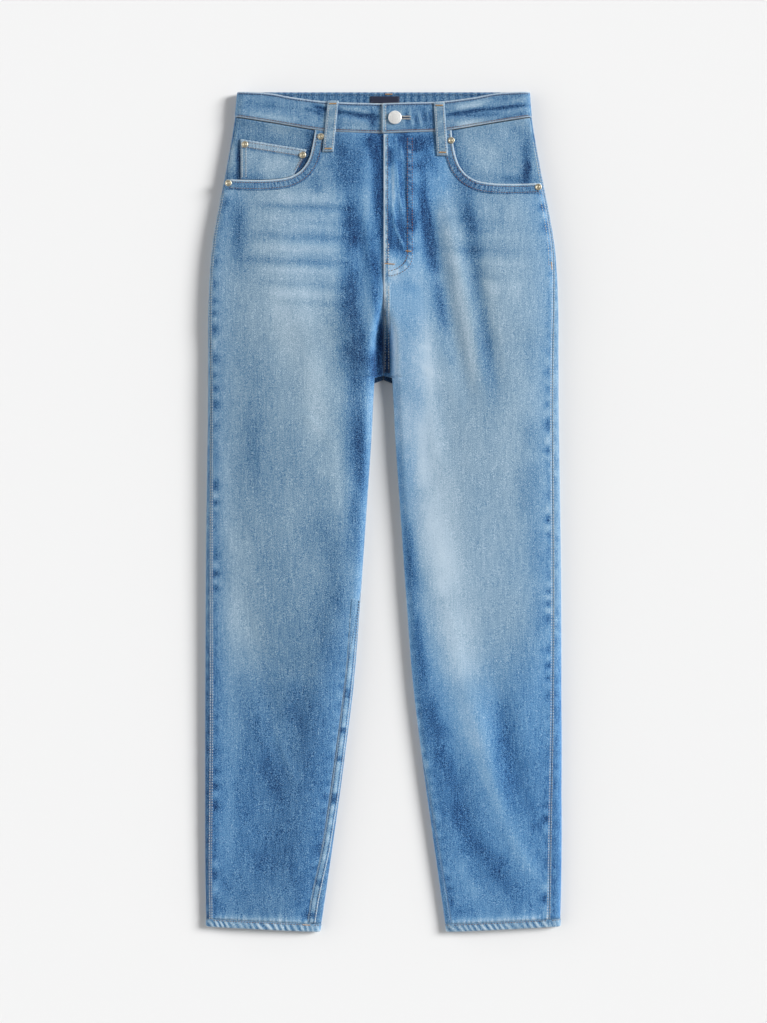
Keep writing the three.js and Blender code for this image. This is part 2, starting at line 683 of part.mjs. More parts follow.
for (const [name, side] of Object.entries(SIDES)) {
  add(`front_${name}`, frontPanel(side), "denim");
  add(`back_${name}`, backPanel(side), "denim");
  add(`yoke_${name}`, backYoke(side), "denim");
  add(`facing_${name}`, pocketFacing(side), "denim");
  add(`hem_${name}`, hemBand(side), "trim");
  add(`back_pocket_${name}`, backPocket(side), "denim");
  add(`loop_front_${name}`, frontLoop(FRONT_LOOPS[name]), "trim");
}
add("coin_pocket", coinPocket(SIDES.right), "trim");
add("waistband", waistband(), "denim");
for (const [name, x] of Object.entries(BACK_LOOPS)) add(`loop_back_${name}`, backLoop(x), "trim");
for (const [name, { x, y }] of Object.entries(RIVETS))
  add(`rivet_${name}`, rivet(), "brass", [x, y, rivetSeat(name, x, y)]);
const lowerBandTop = surfaceAt(BUTTON.x, BUTTON.y) + BAND_RISE;
add("button", button(), "metal", [BUTTON.x, BUTTON.y, lowerBandTop + 1.5 * SEAM_GAP]);
const labelZ = SEAT_LIFT + BAND_WALL + SEAM_GAP + LABEL.wall / 2;
add("inner_label", wovenLabel(), "label", [LABEL.x, LABEL.y, labelZ]);

// The origin is the middle of the footprint, on the table.
const extent = new THREE.Box3().setFromObject(jeans);
const middle = extent.getCenter(new THREE.Vector3());
jeans.position.set(-middle.x, -middle.y, -extent.min.z);

export default jeans;
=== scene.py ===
# Looks of the high-rise mom jeans, laid flat with the front up.
# Tables are in millimetres in the garment's own frame, as in the part: +X is the wearer's left, +Y the waist.
import math

import bpy
import numpy as np
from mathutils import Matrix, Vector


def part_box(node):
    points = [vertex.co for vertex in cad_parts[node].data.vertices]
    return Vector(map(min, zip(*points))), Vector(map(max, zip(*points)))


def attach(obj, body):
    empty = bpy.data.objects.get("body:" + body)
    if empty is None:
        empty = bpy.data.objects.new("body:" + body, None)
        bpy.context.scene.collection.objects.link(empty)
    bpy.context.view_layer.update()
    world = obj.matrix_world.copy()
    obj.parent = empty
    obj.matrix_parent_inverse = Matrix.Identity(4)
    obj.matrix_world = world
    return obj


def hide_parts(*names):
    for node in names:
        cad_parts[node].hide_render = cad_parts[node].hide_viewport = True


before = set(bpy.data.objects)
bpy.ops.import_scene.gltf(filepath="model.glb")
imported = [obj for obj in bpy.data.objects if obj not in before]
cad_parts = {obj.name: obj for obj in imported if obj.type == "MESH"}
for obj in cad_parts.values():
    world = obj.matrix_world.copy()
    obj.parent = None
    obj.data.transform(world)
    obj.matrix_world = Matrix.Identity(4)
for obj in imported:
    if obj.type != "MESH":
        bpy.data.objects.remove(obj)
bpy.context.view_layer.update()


def table(names, *rows):
    """A table with named columns, as a dict of arrays."""
    return dict(zip(names.split(), np.array(rows, float).T))


# Driving sizes
MM = 0.001
DENIM = 1.4
SEAM_GAP = 0.3
SEAT_LIFT = 1.8
CROTCH_Y = 171
CROTCH_STEP = 2.5
VALLEY = dict(floor=4.6, half=10, bank=11, begin=285, full=205)
LEGS_PART = dict(begin=280, full=130)
SEAT_RISE = dict(begin=205, full=245)
BAND_WALL = 2.4
BAND_RISE = 0.8
BAND_LAP_LIFT = 2.8
UNDERLAP_X = 28
OVERLAP_X = -1.3
FLY_LIFT = 1.8
LAP_SLOPE = dict(begin=5, full=40)
FLY_SLOPE = dict(low=34, high=6)
FLY_UNDERLAP = 4
FLY_END_Y = 316
HEM_HEIGHT = 10
HEM_WALL = 2
HEM_RISE = 0.4
FACING_WALL = 1.2
FACING_REACH = 14
FACING_END_Y = 398
COIN_WALL = 1.1
LOOP = dict(width=13.7, wall=1.5, length=56, clearance=0.6, drop=2, settle=0.8)
BUTTON = dict(x=14.7, y=499)
UNDERSIDE_CLEAR = 0.35  # room for the stitches between the back and the table
BACK_STITCH_Z = SEAT_LIFT + UNDERSIDE_CLEAR - 0.1  # of the rows on the raised seat

OUTER = table(
    "y x",
    (534, 185.5), (501, 188.5), (464, 194.5), (418, 203), (388, 209), (342, 217), (297, 221),
    (250, 222.5), (144, 223), (40, 224.5), (-87, 226), (-240, 226.7), (-443, 226.7), (-534, 225),
)
INNER = table(
    "y x",
    (168, 11), (141, 12.7), (91, 15.2), (-11, 22.2), (-112, 29.2), (-214, 37.2),
    (-316, 49.5), (-417, 63.5), (-519, 78.1), (-534, 80.5),
)
LOFT = table(
    "y crown edge",
    (534, 15, 12), (470, 18, 12), (400, 22, 12), (266, 25, 12.5), (150, 25, 12.5),
    (0, 22, 11.5), (-214, 18, 10.5), (-417, 14, 9.5), (-534, 11.5, 8.5),
)
WAIST_SEAM = table(
    "x front back",
    (0, 479.5, 495), (70, 482.5, 496), (90, 485, 497), (140, 493.5, 499), (188, 501.3, 501.3),
)
WAIST_TOP = table(
    "x front back",
    (0, 517.5, 534), (70, 520, 534), (115, 525.5, 534), (145, 531, 534), (185, 533.3, 533.3),
)
YOKE_SEAM = dict(centre=424, side=462)
HEM_LINE = dict(outer=-526.6, inner=-533.6)
SIDES = {
    "right": dict(
        sign=-1, outer_round=10, inner_round=11, scoop_shift=2,
        outseam=table("y inset", (534, 2), (266, 3), (144, 5), (-240, 8.5), (-534, 6)),
        inseam=table("y inset", (-100, 0), (-165, 7), (-240, 12), (-534, 12.5)),
    ),
    "left": dict(
        sign=1, outer_round=12, inner_round=11, scoop_shift=-3,
        outseam=table(
            "y inset", (534, 2), (342, 3), (266, 7), (144, 9.5), (-240, 12.5), (-417, 15.5), (-534, 15.5)
        ),
        inseam=table("y inset", (-300, 0), (-360, 3), (-534, 8)),
    ),
}
FOLDS = table(
    "x0 y0 x1 y1 width rise",
    (-30, 385, -24, 205, 11, -2.6), (54, 400, 108, 140, 12, -3), (108, 345, 145, 150, 12, -2.4),
    (84, 360, 126, 150, 12, 1.6), (-120, 300, -70, 120, 22, 1.4), (104, -215, 156, -400, 13, 2),
    (136, -190, 178, -380, 14, -1.8), (76, -250, 118, -440, 14, -1.6), (-150, -210, -128, -330, 14, -1.6),
    (-96, -190, -118, -320, 13, -1.6),
)
SCOOP = table(
    "x y", (86, 496), (87, 478), (92, 452), (99, 437), (110, 426.5), (127, 420.5), (160, 418.5), (206, 420.5)
)
COIN_POCKET = table("x y", (97, 459), (181, 473), (181, 412), (121, 412))
BACK_POCKET = table("x y", (44, 402), (178, 412), (171, 284), (108, 262), (48, 274))
FRONT_LOOPS = {
    "right": dict(top_x=-63.5, top_y=521, end_x=-70, end_y=456),
    "left": dict(top_x=70.5, top_y=519, end_x=75, end_y=451),
}
BACK_LOOPS = dict(centre=0, right=-128, left=128)

# Smaller creases of the front: soft troughs (rise below 0) and ridges.
CREASES = table(
    "x0 y0 x1 y1 width rise",
    (-112, 386, -30, 383, 4, -0.35), (-130, 395, -50, 391, 6, 0.3), (-124, 350, -26, 344, 5, -0.35),
    (-150, 338, -50, 333, 6, 0.35), (-105, 317, -44, 314, 4, -0.3), (-112, 305, -50, 301, 5, 0.25),
    (-108, 290, -50, 284, 4, -0.2), (60, 372, 150, 366, 6, -0.25), (70, 335, 160, 330, 6, -0.2),
    (-22, 372, -8, 225, 5, 0.8), (-34, 320, -42, 231, 10, -0.8), (-42, 231, -30, 20, 10, -0.6),
    (13, 446, 15, 380, 4.5, 1.1), (17, 441, 22, 396, 2.2, 1.0), (20, 400, 25, 377, 2.2, 1.0),
    (11, 376, 28, 328, 2.4, 1.1), (10, 392, 16, 366, 2.2, 0.7), (9, 460, 11, 400, 3, -0.9),
    (24, 455, 30, 380, 4, -0.7), (16, 478, 18, 460, 2.5, 0.6), (22, 470, 24, 446, 2.2, 0.6),
    (76, 409, 104, 263, 7, 0.8), (58, 150, 74, 40, 12, 0.8), (83, -100, 100, -230, 12, 0.8),
    (152, -395, 196, -470, 10, 0.8), (-137, -270, -112, -345, 6, 0.6), (-187, -20, -187, -180, 12, 0.5),
    (-60, 90, -110, 130, 5, 0.4), (24, 150, 70, 185, 5, 0.4),
)

# The wash, from 0, full indigo, to 1, nearly white, in the middle of each leg.
WASH = table(
    "y right left",
    (534, 0.48, 0.5), (460, 0.5, 0.5), (420, 0.56, 0.55), (396, 0.66, 0.62), (333, 0.68, 0.66),
    (269, 0.7, 0.7), (142, 0.62, 0.72), (15, 0.56, 0.72), (-112, 0.53, 0.69), (-175, 0.45, 0.6),
    (-239, 0.36, 0.48), (-302, 0.3, 0.42), (-366, 0.27, 0.4), (-429, 0.27, 0.4), (-534, 0.35, 0.42),
)
VIVID = table(
    "y right left",
    (534, 0.2, 0.25), (396, 0.1, 0.3), (142, 0, 0.15), (-112, 0.1, 0.4), (-239, 0.3, 0.9), (-534, 0.3, 0.9),
)
# Paler and darker strokes on the front: its wash, with painted shade in the crotch recess, in the legs' folds,
# along the left leg's inner edge above the knee and between the fly's crumples, and painted light on the
# crumples' ridges and along the left leg's inner fold below the knee.
WASH_AND_SHADE_STROKES = table(
    "x0 y0 x1 y1 width rise",
    # right leg, hip to knee
    (-34, 472, -32, 390, 16, -0.22), (-62, 484, -52, 452, 9, -0.22), (-20, 474, -16, 450, 8, -0.2),
    (-55, 460, -48, 409, 14, -0.15), (-188, 400, -180, 290, 18, -0.25), (-86, 428, -84, 400, 8, -0.2),
    (-72, 450, -48, 402, 9, -0.08), (-100, 366, -34, 362, 6, -0.1), (-50, 396, -26, 388, 8, -0.16),
    (-30, 380, -22, 330, 9, -0.16), (-22, 335, -16, 300, 7, -0.25), (-46, 320, -40, 270, 9, -0.16),
    (-200, 290, -168, 180, 24, -0.08), (-142, 310, -112, 175, 16, 0.15), (-58, 475, -44, 400, 17, -0.13),
    (-45, 400, -46, 300, 12, -0.2), (-46, 300, -52, 170, 15, -0.24), (-34, 265, -24, 180, 10, -0.3),
    (-170, 130, -160, 10, 12, -0.14), (-166, -140, -160, -215, 14, 0.12), (-40, 165, -38, 40, 12, -0.22),
    (-34, 30, -34, -70, 10, -0.2), (-205, 90, -192, -60, 14, 0.14), (-192, -90, -186, -230, 22, 0.18),
    (-90, 0, -70, -60, 24, -0.1), (-84, -95, -62, -205, 18, -0.18), (-18, 460, -22, 377, 5, 0.12),
    (-39, 390, -33, 320, 12, -0.42), (-33, 320, -42, 231, 13, -0.46), (-42, 231, -29, 142, 13, -0.46),
    (-29, 142, -27, 15, 10, -0.5), (-19, 142, -21, 15, 4, 0.15), (-65, -36, -61, -131, 12, -0.14),
    (-154, 405, -57, 395, 9, 0.12), (-165, 389, -27, 383, 4, -0.26), (-165, 374, -55, 369, 5, 0.08),
    (-120, 362, -50, 359, 4, 0.1), (-175, 352, -23, 344, 4.5, -0.2), (-175, 336, -45, 331, 6, 0.16),
    (-180, 321, -44, 313, 4, -0.22), (-160, 308, -48, 302, 4.5, 0.13), (-170, 292, -48, 284, 4, -0.12),
    (-150, 278, -50, 273, 4, 0.08), (-140, 266, -46, 262, 4, -0.1), (-60, 250, -25, 268, 3, 0.12),
    (-75, 205, -28, 232, 3, 0.1), (-183, 396, -184, 326, 7, -0.22), (-105, 307, -99, 218, 18, 0.13),
    (-86, 218, -83, 79, 17, 0.22), (-61, 104, -57, 3, 9, 0.15), (-166, 215, -161, 47, 13, -0.12),
    (-187, -23, -187, -182, 10, 0.13), (-118, 47, -114, -112, 5, 0.06), (-32, 240, -20, 208, 9, -0.25),
    (-52, 300, -50, 245, 9, -0.12), (-130, 390, -100, 390, 6, 0.12), (-130, 351, -100, 350, 5, 0.1),
    (-150, 321, -110, 320, 5, 0.1), (-78, 75, -72, 40, 10, 0.12), (-172, -30, -172, -90, 10, 0.1),
    (-40, 25, -38, -20, 8, -0.1), (-55, -85, -55, -135, 8, -0.14), (-100, -85, -85, -85, 8, -0.1),
    (-42, -155, -42, -185, 6, 0.14), (-45, 405, -42, 325, 12, -0.15),
    # right leg below the knee
    (-92, -215, -90, -295, 12, -0.14), (-164, -258, -154, -305, 8, -0.14),
    (-154, -305, -128, -366, 10, -0.16), (-137, -385, -118, -467, 20, -0.1),
    (-110, -245, -89, -347, 8, -0.16), (-137, -270, -114, -340, 6, 0.1), (-193, -194, -192, -442, 6, 0.1),
    (-52, -188, -74, -417, 5, 0.1), (-95, -503, -83, -518, 8, -0.35), (-208, -210, -204, -490, 18, 0.14),
    (-132, -295, -126, -390, 14, -0.12), (-158, -425, -150, -470, 10, -0.12),
    (-112, -460, -104, -500, 12, -0.1), (-115, -215, -110, -275, 14, -0.14),
    (-42, -250, -46, -275, 6, -0.24), (-58, -315, -55, -330, 7, -0.24), (-64, -372, -63, -382, 6, -0.18),
    (-75, -415, -72, -440, 8, -0.32), (-84, -463, -77, -476, 9, -0.24), (-90, -504, -86, -514, 9, -0.35),
    (-185, -230, -184, -330, 7, 0.12), (-213, -440, -212, -495, 8, 0.18),
    (-205, -465, -195, -482, 8, -0.14),
    # fly and centre seam: painted shade in the crotch recess and between the crumples, painted light on the
    # crumples' ridges
    (-8, 508, -7, 368, 7, -0.45), (-10, 480, -8, 440, 8, -0.45), (-20, 365, -6, 255, 8, -0.45),
    (-14, 205, -6, 160, 12, -0.5), (-9, 425, -6, 330, 7, -0.3), (-22, 377, -8, 225, 5, 0.25),
    (-16, 295, 0, 205, 5, -0.45), (-14, 480, -14, 464, 7, -0.25), (-6, 484, -6, 462, 6, -0.3),
    (-3, 238, -8, 172, 5, -0.75), (5, 232, 5, 172, 5, -0.6), (-3, 460, -3, 300, 4, -0.3),
    (-12, 330, -8, 285, 7, -0.25), (19, 472, 22, 317, 15, -0.42), (30, 476, 33, 330, 7, -0.22),
    (14, 480, 28, 468, 9, -0.25), (12, 446, 14, 384, 4, 0.55), (17, 441, 20, 396, 1.3, 0.45),
    (20, 400, 25, 376, 1.3, 0.45), (11, 392, 16, 366, 1.6, 0.35), (10, 372, 19, 350, 1.4, 0.35),
    (14, 362, 28, 330, 1.5, 0.5), (24, 455, 27, 412, 2, 0.3), (22, 470, 24, 446, 1.5, 0.3),
    (16, 478, 18, 462, 1.8, 0.3), (9, 420, 10, 386, 1.4, -0.3), (26, 400, 29, 360, 1.4, 0.28),
    (19, 350, 26, 336, 1.3, 0.3), (12, 474, 60, 470, 10, -0.35), (6, 460, 9, 436, 4, -0.35),
    (5, 384, 9, 330, 5, -0.4), (14, 335, 36, 328, 8, -0.25), (38, 385, 40, 352, 6, -0.3),
    (36, 336, 40, 326, 8, -0.2), (7, 462, 8, 440, 4, -0.3), (38, 290, 30, 275, 12, -0.14),
    (18, 372, 24, 330, 9, -0.3), (9, 326, 15, 288, 8, 0.25), (38, 442, 40, 432, 6, -0.14),
    (34, 386, 36, 350, 5, -0.26), (3, 352, 14, 330, 5, -0.25), (7, 425, 10, 385, 3, 0.2),
    (-15, 480, -15, 462, 8, -0.25), (14, 245, 18, 165, 5, 0.25),
    # left leg, hip to knee
    (45, 372, 165, 366, 5, -0.1), (60, 352, 185, 347, 5, 0.09), (60, 333, 180, 329, 4, -0.1),
    (80, 318, 185, 314, 5, 0.08), (80, 300, 170, 295, 4, -0.07), (38, 195, 70, 170, 3, 0.12),
    (30, 215, 66, 205, 3, 0.08), (38, 470, 42, 455, 6, -0.25), (30, 412, 55, 405, 6, -0.2),
    (20, 462, 60, 460, 7, -0.16), (40, 475, 62, 440, 12, -0.25), (48, 452, 66, 425, 11, -0.22),
    (60, 366, 66, 330, 8, -0.2), (64, 318, 67, 300, 8, -0.14), (78, 222, 88, 180, 8, -0.13),
    (60, 340, 62, 322, 7, -0.15), (104, 335, 106, 312, 7, -0.14), (95, 355, 140, 354, 6, -0.14),
    (70, 382, 74, 365, 7, 0.13), (90, 290, 98, 240, 6, 0.1), (185, 230, 190, 160, 12, -0.11),
    (182, 120, 190, 75, 12, -0.12), (45, 150, 52, 20, 14, 0.08), (25, 74, 33, 68, 6, 0.12),
    (58, -10, 100, -110, 18, 0.1), (20, -40, 34, -125, 8, -0.16), (41, 432, 44, 263, 7, 0.08),
    (53, 254, 60, 142, 9, 0.2), (57, 155, 72, 53, 11, 0.2), (69, 66, 83, -112, 20, 0.22),
    (83, -112, 98, -226, 21, 0.24), (43, 447, 56, 406, 6, -0.35), (50, 406, 66, 295, 7.5, -0.46),
    (67, 295, 80, 222, 7, -0.34), (76, 409, 88, 345, 6, 0.1), (88, 345, 104, 263, 6, 0.12),
    (105, 263, 116, 155, 7, 0.06), (103, 396, 113, 345, 8, -0.3), (113, 345, 124, 269, 8, -0.33),
    (124, 269, 138, 193, 6, -0.22), (136, 193, 131, 72, 8, -0.08), (91, 441, 133, 409, 8, -0.2),
    (48, 412, 56, 345, 9, -0.3), (56, 350, 64, 300, 11, -0.3), (64, 300, 74, 235, 11, -0.2),
    (50, 420, 54, 330, 7, -0.16), (84, 424, 116, 402, 9, -0.2), (100, 345, 128, 325, 12, -0.16),
    (118, 230, 150, 130, 16, -0.12), (170, 60, 176, -10, 10, -0.12), (190, -10, 200, -90, 12, -0.14),
    (50, 20, 62, -30, 12, 0.14), (66, -80, 76, -110, 10, 0.12), (150, 320, 156, 280, 20, 0.08),
    (60, 480, 62, 462, 6, -0.3), (74, 382, 100, 260, 5, 0.14), (100, 260, 117, 165, 6, 0.16),
    (98, 415, 122, 335, 13, -0.2), (106, 315, 138, 165, 9, -0.2), (120, 296, 148, 272, 9, 0.15),
    (108, 432, 122, 424, 7, -0.3), (178, 440, 180, 412, 7, -0.25), (36, 225, 60, 150, 20, 0.12),
    (28, 150, 30, 80, 8, 0.15), (46, 130, 50, 30, 11, 0.22), (42, -20, 66, -80, 14, 0.12),
    (92, -85, 118, -250, 26, 0.14), (192, 70, 190, -10, 13, -0.18), (196, -95, 198, -160, 9, -0.14),
    (155, 384, 171, 377, 20, 0.08), (155, 282, 174, 276, 20, 0.1), (183, 53, 187, -213, 16, -0.07),
    (17, 91, 24, -4, 7, -0.25), (28, -4, 42, -114, 8, -0.5), (39, -114, 52, -226, 8, -0.45),
    # left leg below the knee
    (98, -226, 123, -315, 17, 0.26), (123, -315, 155, -398, 10, 0.26), (155, -398, 193, -467, 9, 0.18),
    (53, -226, 79, -290, 10, -0.25), (79, -290, 110, -404, 14, -0.25), (110, -404, 159, -474, 12, -0.25),
    (62, -290, 80, -404, 6, -0.15), (81, -467, 89, -512, 5, -0.3), (155, -226, 164, -378, 13, -0.22),
    (91, -436, 121, -493, 9, 0.12), (40, -240, 70, -520, 7, 0.3), (50, -200, 62, -300, 9, -0.12),
    (140, -295, 195, -325, 12, -0.12), (58, -245, 92, -375, 9, -0.16), (94, -370, 116, -445, 10, -0.22),
    (146, -240, 154, -300, 9, -0.14), (166, -325, 188, -390, 13, -0.14),
    (130, -450, 190, -500, 18, -0.12), (104, -250, 132, -340, 18, 0.1), (70, -245, 76, -270, 9, 0.14),
    (88, -290, 98, -345, 6, 0.11), (46, -230, 54, -300, 5, -0.16), (206, -455, 208, -495, 7, 0.28),
    (208, -240, 210, -300, 5, 0.16), (208, -324, 209, -336, 5, 0.2), (207, -413, 207, -430, 6, 0.18),
    (203, -512, 214, -513, 5, 0.25), (185, -397, 205, -398, 8, -0.18), (105, -455, 130, -460, 12, -0.1),
    (90, -505, 112, -508, 7, -0.15), (184, -502, 190, -500, 8, -0.14), (150, -432, 152, -450, 7, -0.1),
    (86, -367, 98, -410, 6, -0.13),
)
VIVID_SPOTS = table(
    "x y width height rise",
    (28, 195, 32, 150, 1.3), (66, 430, 22, 45, 1.0), (-10, 285, 14, 60, 0.6), (125, 280, 28, 75, -0.2),
    (150, -175, 65, 80, -0.25), (118, -320, 30, 60, 0.45), (-95, 335, 40, 75, 0.4),
    (-110, -95, 50, 115, -0.6), (-175, -400, 45, 130, 0.45),
)
# Strokes on the waistband's front: the dark ones in its creases and beside the belt loops are painted shade, the
# pale ones on the creases' ridges painted light, the rest its wash.
BAND_WASH_AND_SHADE = table(
    "x0 y0 x1 y1 width rise",
    (-90, 514, -52, 506, 3.6, -0.4), (-54, 506, -8, 499, 3.4, -0.55), (-86, 498, -16, 490, 4, 0.15),
    (-182, 508, -105, 495, 4, 0.15), (-182, 519, -93, 508, 3, -0.12), (81, 502, 136, 512, 3, -0.5),
    (136, 510, 184, 517, 3, -0.3), (140, 522, 182, 527, 2.5, -0.2), (136, 493, 184, 499, 3, -0.2),
    (-92, 515, -54, 507, 1.8, -0.35), (-54, 507, -6, 500, 1.8, -0.6), (-100, 512, -76, 503, 2, -0.4),
    (-54, 494, -30, 491, 2.5, -0.15), (80, 503, 118, 509, 1.5, -0.8), (118, 509, 184, 516, 1.5, -0.6),
    (96, 501, 150, 505, 2, -0.3), (148, 500, 184, 507, 2, -0.2), (-86, 519, -60, 513, 2, 0.25),
    (-50, 511, -8, 505, 2, 0.25), (-60, 487, -8, 485, 2.4, 0.2), (-80, 513, -79, 494, 4, -0.28),
    (-57, 512, -56, 484, 4, -0.24), (60, 512, 61, 480, 4, -0.3), (-14, 512, -12, 480, 6, -0.4),
    (150, 492, 178, 497, 4, -0.18), (90, 489, 128, 496, 4, 0.24), (88, 511, 128, 516, 3, 0.25),
    (160, 522, 182, 525, 3, 0.2), (-180, 500, -95, 492, 6, 0.1), (91, 514, 136, 522, 4, 0.2),
    (85, 489, 149, 497, 4, 0.2), (4, 508, 4, 488, 5, 0.22), (24, 500, 66, 502, 14, -0.3),
    (22, 510, 26, 490, 1.8, 0.3), (33, 512, 37, 488, 1.5, 0.5), (44, 508, 49, 487, 1.5, 0.46),
    (37, 488, 41, 506, 1.3, 0.3), (56, 512, 58, 490, 1.8, 0.2), (28, 506, 31, 489, 2, -0.2),
    (39, 504, 43, 487, 2, -0.25), (51, 508, 54, 487, 2, -0.25),
)
BAND_CREASES = table(
    "x0 y0 x1 y1 width rise",
    (-92, 514, -52, 506, 4, -0.9), (-56, 506, -4, 499, 4, -1.2), (-60, 512, -6, 506, 4, 0.5),
    (-60, 498, -6, 491, 4, 0.5), (80, 502, 136, 512, 3.6, -1.2), (132, 512, 186, 521, 3.6, -0.8),
    (86, 509, 140, 519, 4, 0.6), (84, 494, 140, 503, 4, 0.6), (-180, 518, -100, 508, 5, -0.5),
    (22, 512, 26, 488, 2.6, 0.5), (33, 512, 37, 486, 2.6, 0.5), (44, 510, 49, 486, 2.6, 0.5),
    (56, 512, 58, 488, 2.6, 0.4),
)
BACK_STROKES = table(
    "x0 y0 x1 y1 width rise",
    (110, 240, 115, -150, 45, 0.14), (60, 210, 150, 195, 7, -0.2), (50, 190, 140, 170, 6, -0.16),
    (70, 160, 160, 150, 8, 0.12), (60, 20, 190, 40, 9, -0.16), (60, -15, 190, -5, 9, -0.18),
    (70, -45, 190, -60, 8, -0.14), (100, -200, 150, -420, 22, -0.1), (140, -480, 170, -520, 14, 0.12),
)
BACK_CREASES = table(
    "x0 y0 x1 y1 width rise",
    (60, 210, 150, 195, 9, -0.3), (60, 20, 190, 40, 11, -0.3), (60, -15, 190, -5, 11, -0.3),
    (110, -200, 150, -380, 14, -0.3),
)

# Grids of the fine cloth
PATH_STEPS = 72
FRONT_COLUMNS = 84
BACK_COLUMNS = 56
BAND_COLUMNS = dict(front=100, back=64)
ROW_STEP = 3
BACK_ROW_STEP = 4.5
ROW_BEND = 70
DOME_POWER = 0.6
FOLD_FADE = dict(out=0.15, inside=0.3)  # the soft ends of a stroke, as shares of its length
CROWDING = 0.5  # how much closer the columns stand near the seams, below 1
NORMAL_REACH = 1.0  # how far to each side a slope is taken


def smoothstep(x, a, b):
    t = np.clip((x - a) / (b - a), 0, 1)
    return t * t * (3 - 2 * t)


def mix(a, b, share):
    return a + (b - a) * share


def lengths_along(points):
    """The length of a line up to each of its points."""
    return np.concatenate([[0], np.cumsum(np.linalg.norm(np.diff(points, axis=0), axis=1))])


def curve_of(rows, key, column):
    """A smooth curve through one column of a table, the same as the part's."""
    order = np.argsort(rows[key])
    keys, values = rows[key][order], rows[column][order]
    last = len(keys) - 1
    before = np.maximum(np.arange(last + 1) - 1, 0)
    after = np.minimum(np.arange(last + 1) + 1, last)
    slope = (values[after] - values[before]) / (keys[after] - keys[before])

    def at(k):
        k = np.clip(k, keys[0], keys[-1])
        i = np.clip(np.searchsorted(keys, k) - 1, 0, last - 1)
        span = keys[i + 1] - keys[i]
        t = (k - keys[i]) / span
        bend = t * t * (3 - 2 * t)
        tug = slope[i] * (1 - t) - slope[i + 1] * t
        return mix(values[i], values[i + 1], bend) + span * t * (1 - t) * tug

    return at


outer_x = curve_of(OUTER, "y", "x")
inner_x = curve_of(INNER, "y", "x")
crown_z = curve_of(LOFT, "y", "crown")
edge_z = curve_of(LOFT, "y", "edge")
waist_seam = {face: curve_of(WAIST_SEAM, "x", face) for face in ("front", "back")}
waist_top = {face: curve_of(WAIST_TOP, "x", face) for face in ("front", "back")}
wash_at = {name: curve_of(WASH, "y", name) for name in SIDES}
vivid_at = {name: curve_of(VIVID, "y", name) for name in SIDES}
for side_name, side in SIDES.items():
    side["name"] = side_name
    side["outseam_at"] = curve_of(side["outseam"], "y", "inset")
    side["inseam_at"] = curve_of(side["inseam"], "y", "inset")


def stroke_sum(rows, x, y):
    """The sum at x, y of a table's soft strokes, each from one end to the other."""
    total = np.zeros(np.broadcast(x, y).shape)
    out, inside = FOLD_FADE["out"], FOLD_FADE["inside"]
    for x0, y0, x1, y1, width, rise in zip(*rows.values()):
        dx, dy = x1 - x0, y1 - y0
        length = math.hypot(dx, dy)
        along = ((x - x0) * dx + (y - y0) * dy) / length**2
        across = ((x - x0) * dy - (y - y0) * dx) / length
        ends = smoothstep(along, -out, inside) * (1 - smoothstep(along, 1 - inside, 1 + out))
        total += rise * ends * np.exp(-((across / width) ** 2))
    return total


def fold(distance, radius):
    """Height of a quarter-round fold at a distance in from its edge."""
    return np.sqrt(1 - (1 - np.clip(distance / radius, 0, 1)) ** 2)


def fold_radius(radius, y):
    return radius * edge_z(y) / LOFT["edge"][0]


def dome(w):
    return np.sin(np.pi * np.clip(w, 0, 1)) ** DOME_POWER


def seat_lift(y):
    return SEAT_LIFT * smoothstep(y, SEAT_RISE["begin"], SEAT_RISE["full"])


def top_height(side, x, y):
    """Outer surface of the front at a distance x from the centre line."""
    x, y = np.broadcast_arrays(np.asarray(x, float), np.asarray(y, float))
    outer, inner, middle = outer_x(y), inner_x(y), edge_z(y) / 2
    leg_share = 1 - smoothstep(y, LEGS_PART["full"], LEGS_PART["begin"])
    arch = mix(dome(0.5 + x / outer / 2), dome((x - inner) / (outer - inner)), leg_share)
    z = edge_z(y) + (crown_z(y) - edge_z(y)) * arch + stroke_sum(FOLDS, side["sign"] * x, y)
    z = middle + (z - middle) * fold(outer - x, fold_radius(side["outer_round"], y))
    dip = 1 - smoothstep(y, VALLEY["full"], VALLEY["begin"])
    sunk = VALLEY["floor"] + (z - VALLEY["floor"]) * fold(np.abs(x) - VALLEY["half"] * dip, VALLEY["bank"])
    leg = middle + (z - middle) * fold(x - inner, fold_radius(side["inner_round"], y))
    return np.where(y > CROTCH_Y, mix(z, sunk, dip), leg) + seat_lift(y)


def lap_share(x):
    return 1 - smoothstep(x, UNDERLAP_X + LAP_SLOPE["begin"], UNDERLAP_X + LAP_SLOPE["full"])


def fly_lift(x, y):
    low, high = FLY_END_Y - FLY_SLOPE["low"], FLY_END_Y - FLY_SLOPE["high"]
    return FLY_LIFT * smoothstep(y, low, high) * lap_share(x)


def front_z(x, y):
    """Outer surface of the fronts in the garment's frame, with the fly's lap."""
    x, y = np.broadcast_arrays(np.asarray(x, float), np.asarray(y, float))
    right = top_height(SIDES["right"], -x, y)
    left = top_height(SIDES["left"], x, y) + fly_lift(x, y)
    return np.where(x < 0, right, left)


def front_path(side, y):
    """Sections of the front at heights y, from the outseam to the centre seam or inseam."""
    start = outer_x(y) - side["outseam_at"](y)
    underlap = np.where((side["sign"] < 0) & (y > FLY_END_Y), -FLY_UNDERLAP, 0)
    end = np.where(y > CROTCH_Y, underlap, inner_x(y) + side["inseam_at"](y))
    share = (1 - np.cos(np.linspace(0, np.pi, PATH_STEPS + 1))) / 2
    x = start[:, None] + (end - start)[:, None] * share
    z = top_height(side, x, y[:, None])
    if side["sign"] > 0:
        z = z + fly_lift(x, y[:, None])
    return x, z


